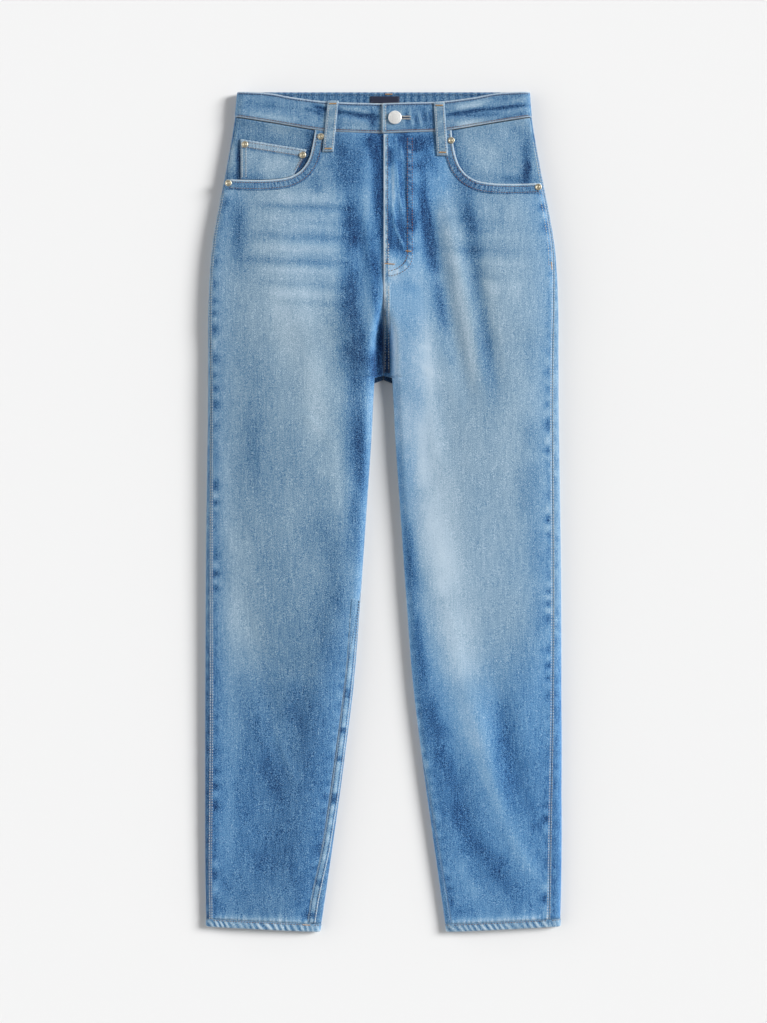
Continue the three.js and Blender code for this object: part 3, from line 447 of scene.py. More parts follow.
def back_path(side, y):
    """Sections of the back, from the outseam round the outer fold, along the table and up the inner fold."""
    outer, middle, lift = outer_x(y)[:, None], edge_z(y)[:, None] / 2, seat_lift(y)[:, None]
    outer_round = fold_radius(side["outer_round"], y)[:, None]
    inner_round = fold_radius(side["inner_round"], y)[:, None]
    closed = (y < CROTCH_Y - 2 * CROTCH_STEP)[:, None]
    inner = np.where(closed, inner_x(y)[:, None], 0)
    count = PATH_STEPS // 4
    share = np.linspace(0, 1, count + 1)
    turn = np.pi / 2 * share
    x_top = outer - side["outseam_at"](y)[:, None] * (1 - share[:-1])
    z_top = top_height(side, x_top, y[:, None])
    x_out = outer - outer_round * (1 - np.cos(turn))
    z_out = lift + middle * (1 - np.sin(turn))
    x_in = np.where(closed, inner + inner_round * (1 - np.cos(turn[::-1])), 0)
    z_in = np.where(closed, lift + middle * (1 - np.sin(turn[::-1])), lift)
    x_lip = inner + side["inseam_at"](y)[:, None] * share[1:]
    z_lip = np.where(closed, top_height(side, x_lip, y[:, None]), lift)
    x_lip = np.where(closed, x_lip, 0)
    return np.hstack([x_top, x_out, x_in, x_lip]), np.hstack([z_top, z_out, z_in, z_lip])


FRONT = dict(path=front_path, turn=1, columns=FRONT_COLUMNS)
BACK = dict(path=back_path, turn=-1, columns=BACK_COLUMNS)


def measured(path):
    """A section's points with the length up to each of them."""
    x, z = path
    step = np.hypot(np.diff(x, axis=1), np.diff(z, axis=1))
    return x, z, np.hstack([np.zeros((len(x), 1)), np.cumsum(step, axis=1)])


def walk(path, pick, at, turn):
    """Points and outward normals on sections, at a length from each one's start."""
    x, z, length = path
    rows = np.arange(len(pick))
    lengths = length[pick]

    def point(s):
        s = np.clip(s, 0, lengths[:, -1])
        i = np.clip((lengths < s[:, None]).sum(axis=1) - 1, 0, lengths.shape[1] - 2)
        a, b = lengths[rows, i], lengths[rows, i + 1]
        t = (s - a) / np.maximum(b - a, 1e-9)
        return mix(x[pick, i], x[pick, i + 1], t), mix(z[pick, i], z[pick, i + 1], t)

    px, pz = point(at)
    ax, az = point(at - NORMAL_REACH)
    bx, bz = point(at + NORMAL_REACH)
    tx, tz = bx - ax, bz - az
    size = np.maximum(np.hypot(tx, tz), 1e-9)
    return px, pz, tz / size * turn, -tx / size * turn


class Patch:
    """A piece of a surface: points, normals, triangles, and values at the points."""

    def __init__(self, points, normals, faces, **values):
        self.points, self.normals, self.faces, self.values = points, normals, faces, values

    @property
    def xy(self):
        return self.points[:, 0], self.points[:, 1]

    def moved(self, distance):
        points = self.points + self.normals * np.reshape(distance, (-1, 1))
        return Patch(points, self.normals, self.faces, **self.values)


def grid_faces(rows, columns, wrap=False):
    """Two triangles for each cell of a grid."""
    r, c = np.meshgrid(np.arange(rows - 1), np.arange(columns if wrap else columns - 1), indexing="ij")
    a, b = r * columns + c, r * columns + (c + 1) % columns
    d, e = (r + 1) * columns + c, (r + 1) * columns + (c + 1) % columns
    return np.vstack([np.stack([a, d, e], -1).reshape(-1, 3), np.stack([a, e, b], -1).reshape(-1, 3)])


def grid_patch(points):
    """A patch through a grid of points, with its normals turned up."""
    normals = np.cross(np.gradient(points, axis=0), np.gradient(points, axis=1))
    normals /= np.linalg.norm(normals, axis=2)[..., None]
    normals *= np.sign(normals[..., 2:3])
    return Patch(points.reshape(-1, 3), normals.reshape(-1, 3), grid_faces(*points.shape[:2]))


def panel(side, face, rows, row_y, gap=SEAM_GAP, shares=None):
    """A patch on one face of one leg; row_y gives a row's y at a distance x from the centre line."""
    if shares is None:
        s = np.linspace(0, 1, face["columns"] + 1)
        shares = s - CROWDING * np.sin(2 * np.pi * s) / (2 * np.pi)
    row, share = (g.ravel() for g in np.meshgrid(rows, shares, indexing="ij"))
    level = measured(face["path"](side, row_y(np.asarray(rows, float), 100.0)))
    pick = np.repeat(np.arange(len(rows)), len(shares))
    total = level[2][pick, -1]
    x = walk(level, pick, gap / 2 + share * (total - gap), face["turn"])[0]
    y = row_y(row, x)
    path = measured(face["path"](side, y))
    everyone = np.arange(len(y))
    total = path[2][:, -1]
    at = gap / 2 + share * (total - gap)
    px, pz, nx, nz = walk(path, everyone, at, face["turn"])
    points = np.stack([side["sign"] * px, y, pz], -1)
    normals = np.stack([side["sign"] * nx, np.zeros_like(y), nz], -1)
    faces = grid_faces(len(rows), len(shares))
    return Patch(points, normals, faces, start=at, end=total - at, share=share, row=row)


def across(x, y):
    return np.clip((outer_x(y) - x) / (outer_x(y) - inner_x(y)), 0, 1)


def hem_line(x):
    return mix(HEM_LINE["outer"], HEM_LINE["inner"], across(np.abs(x), HEM_LINE["inner"]))


def hem_row(share, x):
    """Rows of the turned-up hem, from its sewn edge at 0 to its fold at 1."""
    return hem_line(x) + HEM_HEIGHT * (1 - share)


PANEL_END_Y = HEM_LINE["inner"] + HEM_HEIGHT + SEAM_GAP


def bent_row(top_y, seam):
    """Rows run straight across the leg, and bend to the seam at the top and to the hem at the bottom."""

    def row_y(y, x):
        to_seam = (seam(x) - SEAM_GAP / 2 - top_y) * smoothstep(y, top_y - ROW_BEND, top_y)
        hem_share = 1 - smoothstep(y, PANEL_END_Y, PANEL_END_Y + ROW_BEND)
        return y + to_seam + (hem_line(x) + HEM_HEIGHT + SEAM_GAP - PANEL_END_Y) * hem_share

    return row_y


def yoke_seam(x):
    return mix(YOKE_SEAM["centre"], YOKE_SEAM["side"], np.clip(x / 200, 0, 1))


# Cutting a patch along a curve


def catmull_rom(x, y, count):
    """Points on the smooth curve through a table's points."""
    points = np.stack([x, y], -1)
    last = len(points) - 1
    t = np.linspace(0, last, count)
    i = np.minimum(t.astype(int), last - 1)
    w = (t - i)[:, None]
    p0, p1 = points[np.maximum(i - 1, 0)], points[i]
    p1 = np.where((i == 0)[:, None], points[i], p1)
    p2, p3 = points[i + 1], points[np.minimum(i + 2, last)]
    v0, v1 = (p2 - p0) / 2, (p3 - p1) / 2
    return (2 * p1 - 2 * p2 + v0 + v1) * w**3 + (-3 * p1 + 3 * p2 - 2 * v0 - v1) * w**2 + v0 * w + p1


def scoop_curve(side, count=120):
    """The edge of a pocket mouth in the garment's frame, from the waistband to the side seam."""
    curve = catmull_rom(SCOOP["x"], SCOOP["y"] + side["scoop_shift"], count)
    return curve * np.array([side["sign"], 1])


def curve_distance(curve, x, y):
    """Distance to the left of a curve seen from above (negative to its right), and the length up to there."""
    a, b = curve[:-1], curve[1:]
    step = b - a
    length = np.hypot(*step.T)
    starts = np.concatenate([[0], np.cumsum(length)[:-1]])
    best = np.full(x.shape, 1e9)
    signed, reached = np.zeros(x.shape), np.zeros(x.shape)
    for (ax, ay), (dx, dy), size, start in zip(a, step, length, starts):
        t = np.clip(((x - ax) * dx + (y - ay) * dy) / size**2, 0, 1)
        ox, oy = x - ax - t * dx, y - ay - t * dy
        distance = np.hypot(ox, oy)
        nearer = distance < best
        best = np.where(nearer, distance, best)
        signed = np.where(nearer, np.sign(dx * oy - dy * ox) * distance, signed)
        reached = np.where(nearer, start + t * size, reached)
    return signed, reached


def mouth_distance(side, x, y):
    """How far a point lies below and inside a pocket mouth, and how far along it."""
    curve = scoop_curve(side, 48)
    reach = 150
    first = curve[0] + (curve[0] - curve[1]) / np.hypot(*(curve[0] - curve[1])) * reach
    last = curve[-1] + np.array([side["sign"] * reach, 0])
    signed, along = curve_distance(np.vstack([first, curve, last]), x, y)
    return -side["sign"] * signed, along - reach


def clip(patch, keep):
    """The part of a patch where keep is above 0, cut along its edge."""
    inside = keep > 0
    kept = inside[patch.faces]
    whole = patch.faces[kept.all(axis=1)]
    crossed = patch.faces[kept.any(axis=1) & ~kept.all(axis=1)]
    names = ["points", "normals", *patch.values]
    data = [patch.points, patch.normals, *(v.reshape(-1, 1) for v in patch.values.values())]
    widths = np.cumsum([d.shape[1] for d in data])[:-1]
    stacked = np.hstack(data)
    made, cuts, faces = [], {}, []

    def cut(a, b):
        key = (min(a, b), max(a, b))
        if key not in cuts:
            t = keep[key[0]] / (keep[key[0]] - keep[key[1]])
            made.append(mix(stacked[key[0]], stacked[key[1]], t))
            cuts[key] = len(stacked) + len(made) - 1
        return cuts[key]

    for face in crossed:
        ring = []
        for a, b in zip(face, np.roll(face, -1)):
            if inside[a]:
                ring.append(a)
            if inside[a] != inside[b]:
                ring.append(cut(a, b))
        faces += [(ring[0], ring[i], ring[i + 1]) for i in range(1, len(ring) - 1)]
    stacked = np.vstack([stacked, *made]) if made else stacked
    all_faces = np.vstack([whole, np.array(faces, int).reshape(-1, 3)])
    used, renamed = np.unique(all_faces, return_inverse=True)
    parts = dict(zip(names, np.split(stacked[used], widths, axis=1)))
    points, normals = parts.pop("points"), parts.pop("normals")
    values = {name: v.ravel() for name, v in parts.items()}
    return Patch(points, normals, renamed.reshape(-1, 3), **values)


def polygon_keep(outline, sign, x, y):
    """Distance inside a convex outline given clockwise for the wearer's left."""
    px, py = outline["x"] * sign, outline["y"]
    qx, qy = np.roll(px, -1), np.roll(py, -1)
    area = np.sum(px * qy - qx * py)
    inside = [
        ((bx - ax) * (y - ay) - (by - ay) * (x - ax)) / math.hypot(bx - ax, by - ay) * np.sign(area)
        for ax, ay, bx, by in zip(px, py, qx, qy)
    ]
    return np.min(inside, axis=0)


# Meshes

shift = np.array(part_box("button")[0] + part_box("button")[1]) / 2 / MM - np.array([BUTTON["x"], BUTTON["y"], 0])
shift[2] = 0


def mesh_object(name, points, faces, material, **values):
    """A smooth-shaded object from points in millimetres, triangles and values at the points."""
    mesh = bpy.data.meshes.new(name)
    mesh.vertices.add(len(points))
    mesh.vertices.foreach_set("co", ((points + shift) * MM).astype(np.float32).ravel())
    mesh.loops.add(faces.size)
    mesh.loops.foreach_set("vertex_index", faces.astype(np.int32).ravel())
    mesh.polygons.add(len(faces))
    mesh.polygons.foreach_set("loop_start", np.arange(0, faces.size, 3, dtype=np.int32))
    mesh.update(calc_edges=True)
    mesh.validate()
    mesh.shade_smooth()
    for key, value in values.items():
        attribute = mesh.attributes.new(key, "FLOAT", "POINT")
        attribute.data.foreach_set("value", np.asarray(value, np.float32))
    mesh.materials.append(material)
    piece = bpy.data.objects.new(name, mesh)
    bpy.context.scene.collection.objects.link(piece)
    return piece


def turned_out(points, faces):
    """Turns a closed mesh's faces outwards if its volume comes out negative."""
    a, b, c = (points[faces[:, k]] for k in range(3))
    return faces if np.sum(a * np.cross(b, c)) > 0 else faces[:, ::-1]


def shell(patch, wall):
    """A closed wall below a patch: its points, faces, and the values at its points."""
    count = len(patch.points)
    inner = patch.points - patch.normals * np.reshape(wall, (-1, 1))
    points = np.vstack([patch.points, inner])
    edges = np.vstack([patch.faces[:, [0, 1]], patch.faces[:, [1, 2]], patch.faces[:, [2, 0]]])
    codes = edges[:, 0].astype(np.int64) * count + edges[:, 1]
    back = edges[:, 1].astype(np.int64) * count + edges[:, 0]
    rim = edges[~np.isin(codes, back)]
    a, b = rim.T
    sides = np.vstack([np.stack([b, a, a + count], -1), np.stack([b, a + count, b + count], -1)])
    faces = np.vstack([patch.faces, patch.faces[:, ::-1] + count, sides])
    values = {key: np.concatenate([v, v]) for key, v in patch.values.items()}
    return points, turned_out(points, faces), values


def joined(meshes):
    """Several (points, faces) as one."""
    starts = np.cumsum([0] + [len(p) for p, f in meshes])[:-1]
    return np.vstack([p for p, f in meshes]), np.vstack([f + s for (p, f), s in zip(meshes, starts)])


# Finish of the cloth


def waves(x, y, wavelength, seed):
    """A smooth irregular pattern from -1 to 1, the same on each run."""
    total = np.zeros(np.broadcast(x, y).shape)
    for k in range(5):
        angle = seed * 1.7 + k * 2.4
        scale = 2 * np.pi / (wavelength * (0.75 + 0.17 * k))
        total = total + np.sin((x * np.cos(angle) + y * np.sin(angle)) * scale + seed * 3.1 + k * 1.3)
    return total / 5


def pucker(y, pitch, seed):
    """An uneven ripple along a seam, from -1 to 1."""
    turn = 2 * np.pi * y / pitch
    wander = 0.9 * np.sin(turn / 3.7 + seed) + 0.6 * np.sin(turn / 6.1 + 2 * seed)
    return np.sin(turn + 1.6 * wander) * (0.75 + 0.25 * np.sin(turn / 4.3 + seed))


def near(distance, middle, width):
    return np.exp(-(((distance - middle) / width) ** 2))


# Puckers along the outseam and the inseam
OUT_PITCH = 23
IN_PITCH = 17


def front_wash_and_shade(side, x, y):
    """The wash of a front before its seams and waves, with the painted shade and light of its strokes."""
    return wash_at[side["name"]](y) + stroke_sum(WASH_AND_SHADE_STROKES, x, y)


def front_finish(side, patch):
    """Wash with its painted shade and light, wear and depth of creases at a front's points."""
    x, y = patch.xy
    start, end = patch.values["start"], patch.values["end"]
    seed = 1 + side["sign"]
    wash_and_shade = front_wash_and_shade(side, x, y) + 0.05 * waves(x, y * 0.4, 46, seed)
    ripple = pucker(y, OUT_PITCH, seed)
    blotch = ripple * (0.7 + 0.5 * np.sin(y / 27 + 2 * np.sin(y / 71) + seed))
    wash_and_shade += -0.3 * near(start, 5.5, 3.6) * (0.3 - blotch) - 0.1 * near(start, 0, 14)
    wash_and_shade += -0.12 * near(start, 11, 5) * smoothstep(-blotch, 0.2, 0.8)
    legs = 1 - smoothstep(y, CROTCH_Y, CROTCH_Y + 30)
    low = 1 - smoothstep(y, -260, -120)
    inner_ripple = pucker(y, IN_PITCH, seed + 2)
    wash_and_shade += legs * (0.06 + 0.1 * low) * near(end, 5, 5) * inner_ripple
    hem = y - (hem_line(np.abs(x)) + HEM_HEIGHT)
    wash_and_shade += 0.55 * near(hem, 1, 5.5) * (0.7 + 0.4 * pucker(x, 6.3, seed)) + 0.08 * near(hem, 9, 8)
    wash_and_shade += -0.14 * near(hem, 10, 6) * (0.5 - 0.5 * pucker(x, 19, seed))
    relief = stroke_sum(CREASES, x, y) + 0.25 * waves(x, y * 0.5, 60, seed + 4)
    relief += 0.35 * near(start, 5, 4) * ripple + legs * 0.3 * near(end, 5, 4) * inner_ripple
    fade_out = smoothstep(start, 0, 6) * smoothstep(end, 0, 6)
    relief = relief * fade_out - 0.25 * near(start, 0, 1) - 0.25 * near(end, 0, 1)
    return wash_and_shade, relief


WASH_AND_SHADE_RANGE = (-0.1, 1.1)
WEAR_RANGE = (0, 1.6)


def finish_values(patch, wash_and_shade, vivid, wear=0.0):
    """Keeps only what the materials read."""
    count = len(patch.points)
    patch.values = {
        "wash_and_shade": np.clip(wash_and_shade, *WASH_AND_SHADE_RANGE) + np.zeros(count),
        "vivid": np.clip(vivid, 0, 1) + np.zeros(count),
        "wear": np.clip(wear, *WEAR_RANGE) + np.zeros(count),
    }
    return patch


def cloth(name, patch, wall, material, *nodes, slot="denim", inside=None):
    """A closed cloth piece that stands for CAD nodes; inside is its inner face's wash and painted shade where
    that differs.
    """
    points, faces, values = shell(patch, wall)
    if inside is not None:
        values["wash_and_shade"][len(patch.points):] = inside
    points[:, 2] = np.maximum(points[:, 2], 0)
    piece = mesh_object(name, points, faces, material, **values)
    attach(piece, "root")
    if nodes:
        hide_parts(*nodes)
    return piece


# Materials


def new_material(name):
    material = bpy.data.materials.new(name)
    material.use_nodes = True
    nodes = material.node_tree.nodes
    nodes.clear()
    return material, nodes, material.node_tree.links


def set_input(links, socket, value):
    """Links a socket, or sets it where the value is a constant."""
    if isinstance(value, bpy.types.NodeSocket):
        links.new(value, socket)
    else:
        socket.default_value = value


def add_node(nodes, links, kind, **inputs):
    """A node with constants or links on its inputs, by their names with _ for a space."""
    node = nodes.new(f"ShaderNode{kind}")
    for name, value in inputs.items():
        set_input(links, node.inputs[name.replace("_", " ")], value)
    return node


def surface(material, colour, bump=None, **constants):
    """Gives a material its shader: a colour, constants, and a bump of (height, strength, distance)."""
    nodes, links = material.node_tree.nodes, material.node_tree.links
    shader = add_node(nodes, links, "BsdfPrincipled", Base_Color=colour, **constants)
    if bump:
        raised = add_node(nodes, links, "Bump", Height=bump[0], Strength=bump[1], Distance=bump[2])
        links.new(raised.outputs["Normal"], shader.inputs["Normal"])
    output = nodes.new("ShaderNodeOutputMaterial")
    links.new(shader.outputs[0], output.inputs["Surface"])
    return material


def blend(nodes, links, share, first, second):
    """A mix of two colours, each a constant or a socket."""
    node = nodes.new("ShaderNodeMix")
    node.data_type = "RGBA"
    for name, value in (("Factor", share), ("A", first), ("B", second)):
        set_input(links, node.inputs[name], value)
    return node.outputs["Result"]


def srgb(r, g, b):
    """A colour of the screen, 0 to 255, as linear light."""
    share = np.array([r, g, b]) / 255
    return (*np.where(share <= 0.04045, share / 12.92, ((share + 0.055) / 1.055) ** 2.4), 1)


def ramp(nodes, links, tone, tones):
    """Colours for a tone, from a table's first tone to its last."""
    low, high = tones["tone"][0], tones["tone"][-1]
    node = nodes.new("ShaderNodeValToRGB")
    elements = node.color_ramp.elements
    while len(elements) < len(tones["tone"]):
        elements.new(0.5)
    for element, at, *colour in zip(elements, *tones.values()):
        element.position = (at - low) / (high - low)
        element.color = srgb(*colour)
    share = math_node(nodes, links, "MULTIPLY_ADD", tone, float(1 / (high - low)), float(-low / (high - low)))
    links.new(share, node.inputs["Fac"])
    return node.outputs["Color"]


def math_node(nodes, links, operation, *values):
    node = nodes.new("ShaderNodeMath")
    node.operation = operation
    for socket, value in zip(node.inputs, values):
        set_input(links, socket, value)
    return node.outputs[0]


def noise_node(nodes, links, vector, scale, stretch=1, detail=2.0, roughness=0.6):
    """Noise with cells stretched along the leg where stretch is below 1."""
    mapping = add_node(nodes, links, "Mapping", Scale=(scale, scale * stretch, scale), Vector=vector)
    inputs = dict(Vector=mapping.outputs[0], Scale=1.0, Detail=detail, Roughness=roughness)
    return add_node(nodes, links, "TexNoise", **inputs).outputs["Fac"]


def attribute(nodes, name):
    node = nodes.new("ShaderNodeAttribute")
    node.attribute_name = name
    return node.outputs["Fac"]


GREY_TONES = table(
    "tone r g b",
    (-0.25, 6, 34, 72), (0, 18, 64, 108), (0.25, 58, 103, 143), (0.5, 97, 133, 161), (0.75, 137, 162, 180),
    (1, 178, 199, 215), (1.3, 206, 220, 231),
)
VIVID_TONES = table(
    "tone r g b",
    (-0.25, 6, 36, 80), (0, 20, 74, 128), (0.25, 58, 112, 165), (0.5, 90, 143, 188), (0.75, 128, 168, 202),
    (1, 178, 204, 225), (1.3, 208, 222, 236),
)
WORN = (190, 200, 206)

# Noise in the denim, and how much each kind changes the wash
GRAIN = dict(
    slub=dict(scale=640, stretch=0.06, detail=1.5, amount=0.36),
    speckle=dict(scale=1250, stretch=0.8, detail=1.0, roughness=0.5, amount=1.5),
    mottle=dict(scale=120, stretch=0.5, detail=3.0, amount=0.14),
    cloud=dict(scale=24, stretch=0.45, detail=2.0, amount=0.08),
)
TWILL = dict(Scale=330, Distortion=1.5, Detail=1.0)
DENIM_SHADER = dict(Roughness=0.86, Specular_IOR_Level=0.2, Sheen_Weight=0.08, Sheen_Roughness=0.6)


def denim_material():
    """Washed denim: the wash with its painted shade and light, and the wear, come with the mesh; the slubs,
    speckle and twill from noise.
    """
    material, nodes, links = new_material("denim_washed")
    where = nodes.new("ShaderNodeTexCoord").outputs["Object"]
    wash_and_shade = attribute(nodes, "wash_and_shade")
    depth = math_node(nodes, links, "MULTIPLY_ADD", wash_and_shade, -1.2, 1.7)
    noise = {}
    for name, spec in GRAIN.items():
        sizes = {key: value for key, value in spec.items() if key != "amount"}
        noise[name] = noise_node(nodes, links, where, **sizes)
        centred = math_node(nodes, links, "SUBTRACT", noise[name], 0.5)
        grain = math_node(nodes, links, "MULTIPLY", centred, depth)
        wash_and_shade = math_node(nodes, links, "MULTIPLY_ADD", grain, spec["amount"], wash_and_shade)
    grey, blue = (ramp(nodes, links, wash_and_shade, tones) for tones in (GREY_TONES, VIVID_TONES))
    washed = blend(nodes, links, attribute(nodes, "vivid"), grey, blue)
    ragged = math_node(nodes, links, "MULTIPLY_ADD", noise["speckle"], 1.2, -0.1)
    patchy = math_node(nodes, links, "MULTIPLY", attribute(nodes, "wear"), ragged)
    colour = blend(nodes, links, patchy, washed, srgb(*WORN))
    twill = add_node(nodes, links, "TexWave", Vector=where, **TWILL)
    twill.bands_direction = "DIAGONAL"
    height = math_node(nodes, links, "MULTIPLY_ADD", noise["speckle"], 1.4, twill.outputs["Fac"])
    height = math_node(nodes, links, "MULTIPLY_ADD", noise["slub"], 1.2, height)
    return surface(material, colour, (height, 0.35, 0.0004), **DENIM_SHADER)


def thread_material(name, colour):
    """Twisted sewing thread."""
    material, nodes, links = new_material(name)
    where = nodes.new("ShaderNodeTexCoord").outputs["Object"]
    twist = noise_node(nodes, links, where, 1500, detail=1.0)
    shade = blend(nodes, links, twist, srgb(*(0.72 * c for c in colour)), srgb(*colour))
    return surface(material, shade, (twist, 0.3, 0.0002), Roughness=0.6)


def metal_material(name, colour, roughness, metallic):
    """Plated metal with fine scratches and a little tarnish."""
    material, nodes, links = new_material(name)
    where = nodes.new("ShaderNodeTexCoord").outputs["Object"]
    scratches = noise_node(nodes, links, where, 2600, 0.12)
    tarnish = noise_node(nodes, links, where, 500)
    shade = blend(nodes, links, tarnish, srgb(*(0.8 * c for c in colour)), srgb(*colour))
    return surface(material, shade, (scratches, 0.12, 0.0001), Metallic=metallic, Roughness=roughness)


def label_material():
    """Plain navy satin weave with fine ribs."""
    material, nodes, links = new_material("label_navy")
    where = nodes.new("ShaderNodeTexCoord").outputs["Object"]
    ribs = add_node(nodes, links, "TexWave", Vector=where, Scale=420)
    ribs.bands_direction = "Y"
    shade = blend(nodes, links, ribs.outputs["Fac"], srgb(22, 27, 46), srgb(36, 43, 68))
    return surface(material, shade, (ribs.outputs["Fac"], 0.3, 0.0002), Roughness=0.6)


DENIM_CLOTH = denim_material()
THREADS = {
    "rust": thread_material("thread_rust", (122, 84, 62)),
    "pale": thread_material("thread_pale", (228, 229, 224)),
    "orange": thread_material("thread_orange", (246, 196, 134)),
    "navy": thread_material("thread_navy", (44, 62, 98)),
}
BRASS = metal_material("brass_rivet", (218, 208, 182), 0.4, 0.75)
NICKEL = metal_material("nickel_button", (252, 252, 250), 0.36, 0.2)
LABEL_CLOTH = label_material()


# Sewing: each stitch is a small pillow of thread, and one object holds the stitches of one thread and area.

STITCH = dict(length=2.7, pitch=3.5, width=0.95, height=0.42, sink=0.2)
sewing = {}


def along_line(points, pitch):
    """Places at an even pitch along a line, and the directions there."""
    length = lengths_along(points)
    count = max(int(length[-1] / pitch), 1)
    at = (np.arange(count) + 0.5) * length[-1] / count

    def place(s):
        return np.stack([np.interp(s, length, points[:, k]) for k in range(3)], -1)

    direction = place(at + pitch / 4) - place(at - pitch / 4)
    return place(at), direction / np.linalg.norm(direction, axis=1)[:, None], at / length[-1]


def stitch_mesh(centres, directions, normals, length, width, height, sink):
    """One pillow of ten points for each centre."""
    side = np.cross(directions, normals)
    side /= np.linalg.norm(side, axis=1)[:, None]
    up = np.cross(side, directions)
    rows = [(-0.5, 0, -sink)]
    for end in (-0.25, 0.25):
        rows += [(end, 0, height), (end, 0.5, 0), (end, 0, -sink), (end, -0.5, 0)]
    rows.append((0.5, 0, -sink))
    shape = np.array([
        centres + directions * (a * length) + side * (b * width) + up * c for a, b, c in rows
    ]).transpose(1, 0, 2)
    faces = []
    for k in range(4):
        n = (k + 1) % 4
        faces += [(0, 1 + n, 1 + k), (1 + k, 1 + n, 5 + n), (1 + k, 5 + n, 5 + k), (9, 5 + k, 5 + n)]
    faces = np.array(faces)[None] + (np.arange(len(centres)) * 10)[:, None, None]
    return shape.reshape(-1, 3), faces.reshape(-1, 3)


def sew(group, thread, points, normals, pitch=None, **sizes):
    """A row of stitches along a line on a surface."""
    size = {**STITCH, **sizes}
    centres, directions, share = along_line(points, pitch or size["pitch"])
    length = lengths_along(points)
    up = np.stack([np.interp(share, length / length[-1], normals[:, k]) for k in range(3)], -1)
    mesh = stitch_mesh(centres, directions, up, size["length"], size["width"], size["height"], size["sink"])
    sewing.setdefault((group, thread), []).append(mesh)


def bartack(group, thread, centre, direction, normal, length, width=2.2):
    """A dense zigzag across a short line."""
    count = int(length / 0.7)
    offsets = (np.arange(count) / (count - 1) - 0.5) * length
    direction, normal = np.array(direction, float), np.array(normal, float)
    side = np.cross(direction, normal)
    lean = np.where(np.arange(count) % 2, 0.25, -0.25)[:, None] * direction
    centres = np.array(centre, float) + offsets[:, None] * direction
    ways = side + lean
    ways /= np.linalg.norm(ways, axis=1)[:, None]
    ups = np.repeat(normal[None], count, axis=0)
    sewing.setdefault((group, thread), []).append(stitch_mesh(centres, ways, ups, width, 0.8, 0.7, 0.2))


def place_sewing():
    """Makes the objects that hold the stitches."""
    for (group, thread), meshes in sorted(sewing.items()):
        points, faces = joined(meshes)
        points[:, 2] = np.maximum(points[:, 2], 0)
        piece = mesh_object(f"stitches_{group}_{thread}", points, faces, THREADS[thread])
        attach(piece, "root")


def surface_normals(height, x, y, reach=1.5):
    """Upward normals of a surface given by its height."""
    dx = (height(x + reach, y) - height(x - reach, y)) / (2 * reach)
    dy = (height(x, y + reach) - height(x, y - reach)) / (2 * reach)
    normals = np.stack([-dx, -dy, np.ones_like(dx)], -1)
    return normals / np.linalg.norm(normals, axis=1)[:, None]


def sew_on(group, thread, height, line, lift=0.1, **sizes):
    """Stitches along a line seen from above, on a surface given by its height."""
    line = np.asarray(line, float)
    x, y = line[:, 0], line[:, 1]
    points = np.stack([x, y, height(x, y) + lift], -1)
    sew(group, thread, points, surface_normals(height, x, y), **sizes)


def offset_line(line, distance):
    """A line seen from above, moved to its left by a distance."""
    line = np.asarray(line, float)
    tangent = np.gradient(line, axis=0)
    tangent /= np.hypot(*tangent.T)[:, None]
    return line + np.stack([-tangent[:, 1], tangent[:, 0]], -1) * np.reshape(distance, (-1, 1))


def straight(x0, y0, x1, y1, step=3.0):
    count = max(int(math.hypot(x1 - x0, y1 - y0) / step), 2)
    return np.stack([np.linspace(x0, x1, count), np.linspace(y0, y1, count)], -1)


def ribbon(line, offsets, height, lift, wash_and_shade, vivid, wear, step_down=0.25):
    """A strip of cloth along a line seen from above; lift, wash_and_shade and wear are functions of (u, v)."""
    line = np.asarray(line, float)
    length = lengths_along(line)
    grid = np.stack([offset_line(line, v) for v in offsets], 1)
    u, v = np.meshgrid(length, offsets, indexing="ij")
    x, y = grid[..., 0], grid[..., 1]
    patch = grid_patch(np.stack([x, y, height(x, y) + lift(u, v)], -1))
    wall = (lift(u, v) + step_down).ravel()
    return finish_values(patch, wash_and_shade(x, y, u, v).ravel(), vivid, wear(u, v).ravel()), wall


# Pieces of cloth


def facing_table(normals):
    """How far a surface faces the table, from 0 to 1."""
    return smoothstep(-normals[..., 2], 0.2, 0.9)


def row_heights(top, bottom, step):
    return np.linspace(top, bottom, int(round((top - bottom) / step)) + 1)


WAIST_Y = WAIST_SEAM["front"][0]


def front_patch(side, bottom=PANEL_END_Y):
    rows = row_heights(WAIST_Y, bottom, ROW_STEP)
    return panel(side, FRONT, rows, bent_row(WAIST_Y, waist_seam["front"]))


def vivid_spots(x, y):
    """Where the fronts are bluer or greyer than the rest of their height."""
    total = 0.7 * near(x, 14, 30) * smoothstep(y, 290, 340)
    total = total + 0.4 * near(x, -42, 34) * smoothstep(y, 230, 320)
    for x0, y0, width, height, rise in zip(*VIVID_SPOTS.values()):
        total += rise * near(x, x0, width) * near(y, y0, height)
    return total


def front_panel(side):
    patch = front_patch(side)
    keep = mouth_distance(side, *patch.xy)[0]
    patch = clip(patch, keep)
    wash_and_shade, relief = front_finish(side, patch)
    wear = 0.35 * near(patch.values["end"], 0, 1.2) + 0.25 * near(patch.values["start"], 0, 1.2)
    patch = patch.moved(relief)
    edges = 0.55 * near(patch.values["end"], 0, 32) + 0.45 * near(patch.values["start"], 0, 26)
    x, y = patch.xy
    finish_values(patch, wash_and_shade, vivid_at[side["name"]](y) + edges + vivid_spots(x, y), wear)
    name = f"front_{side['name']}"
    return cloth(f"{name}_cloth", patch, DENIM, DENIM_CLOTH, name)


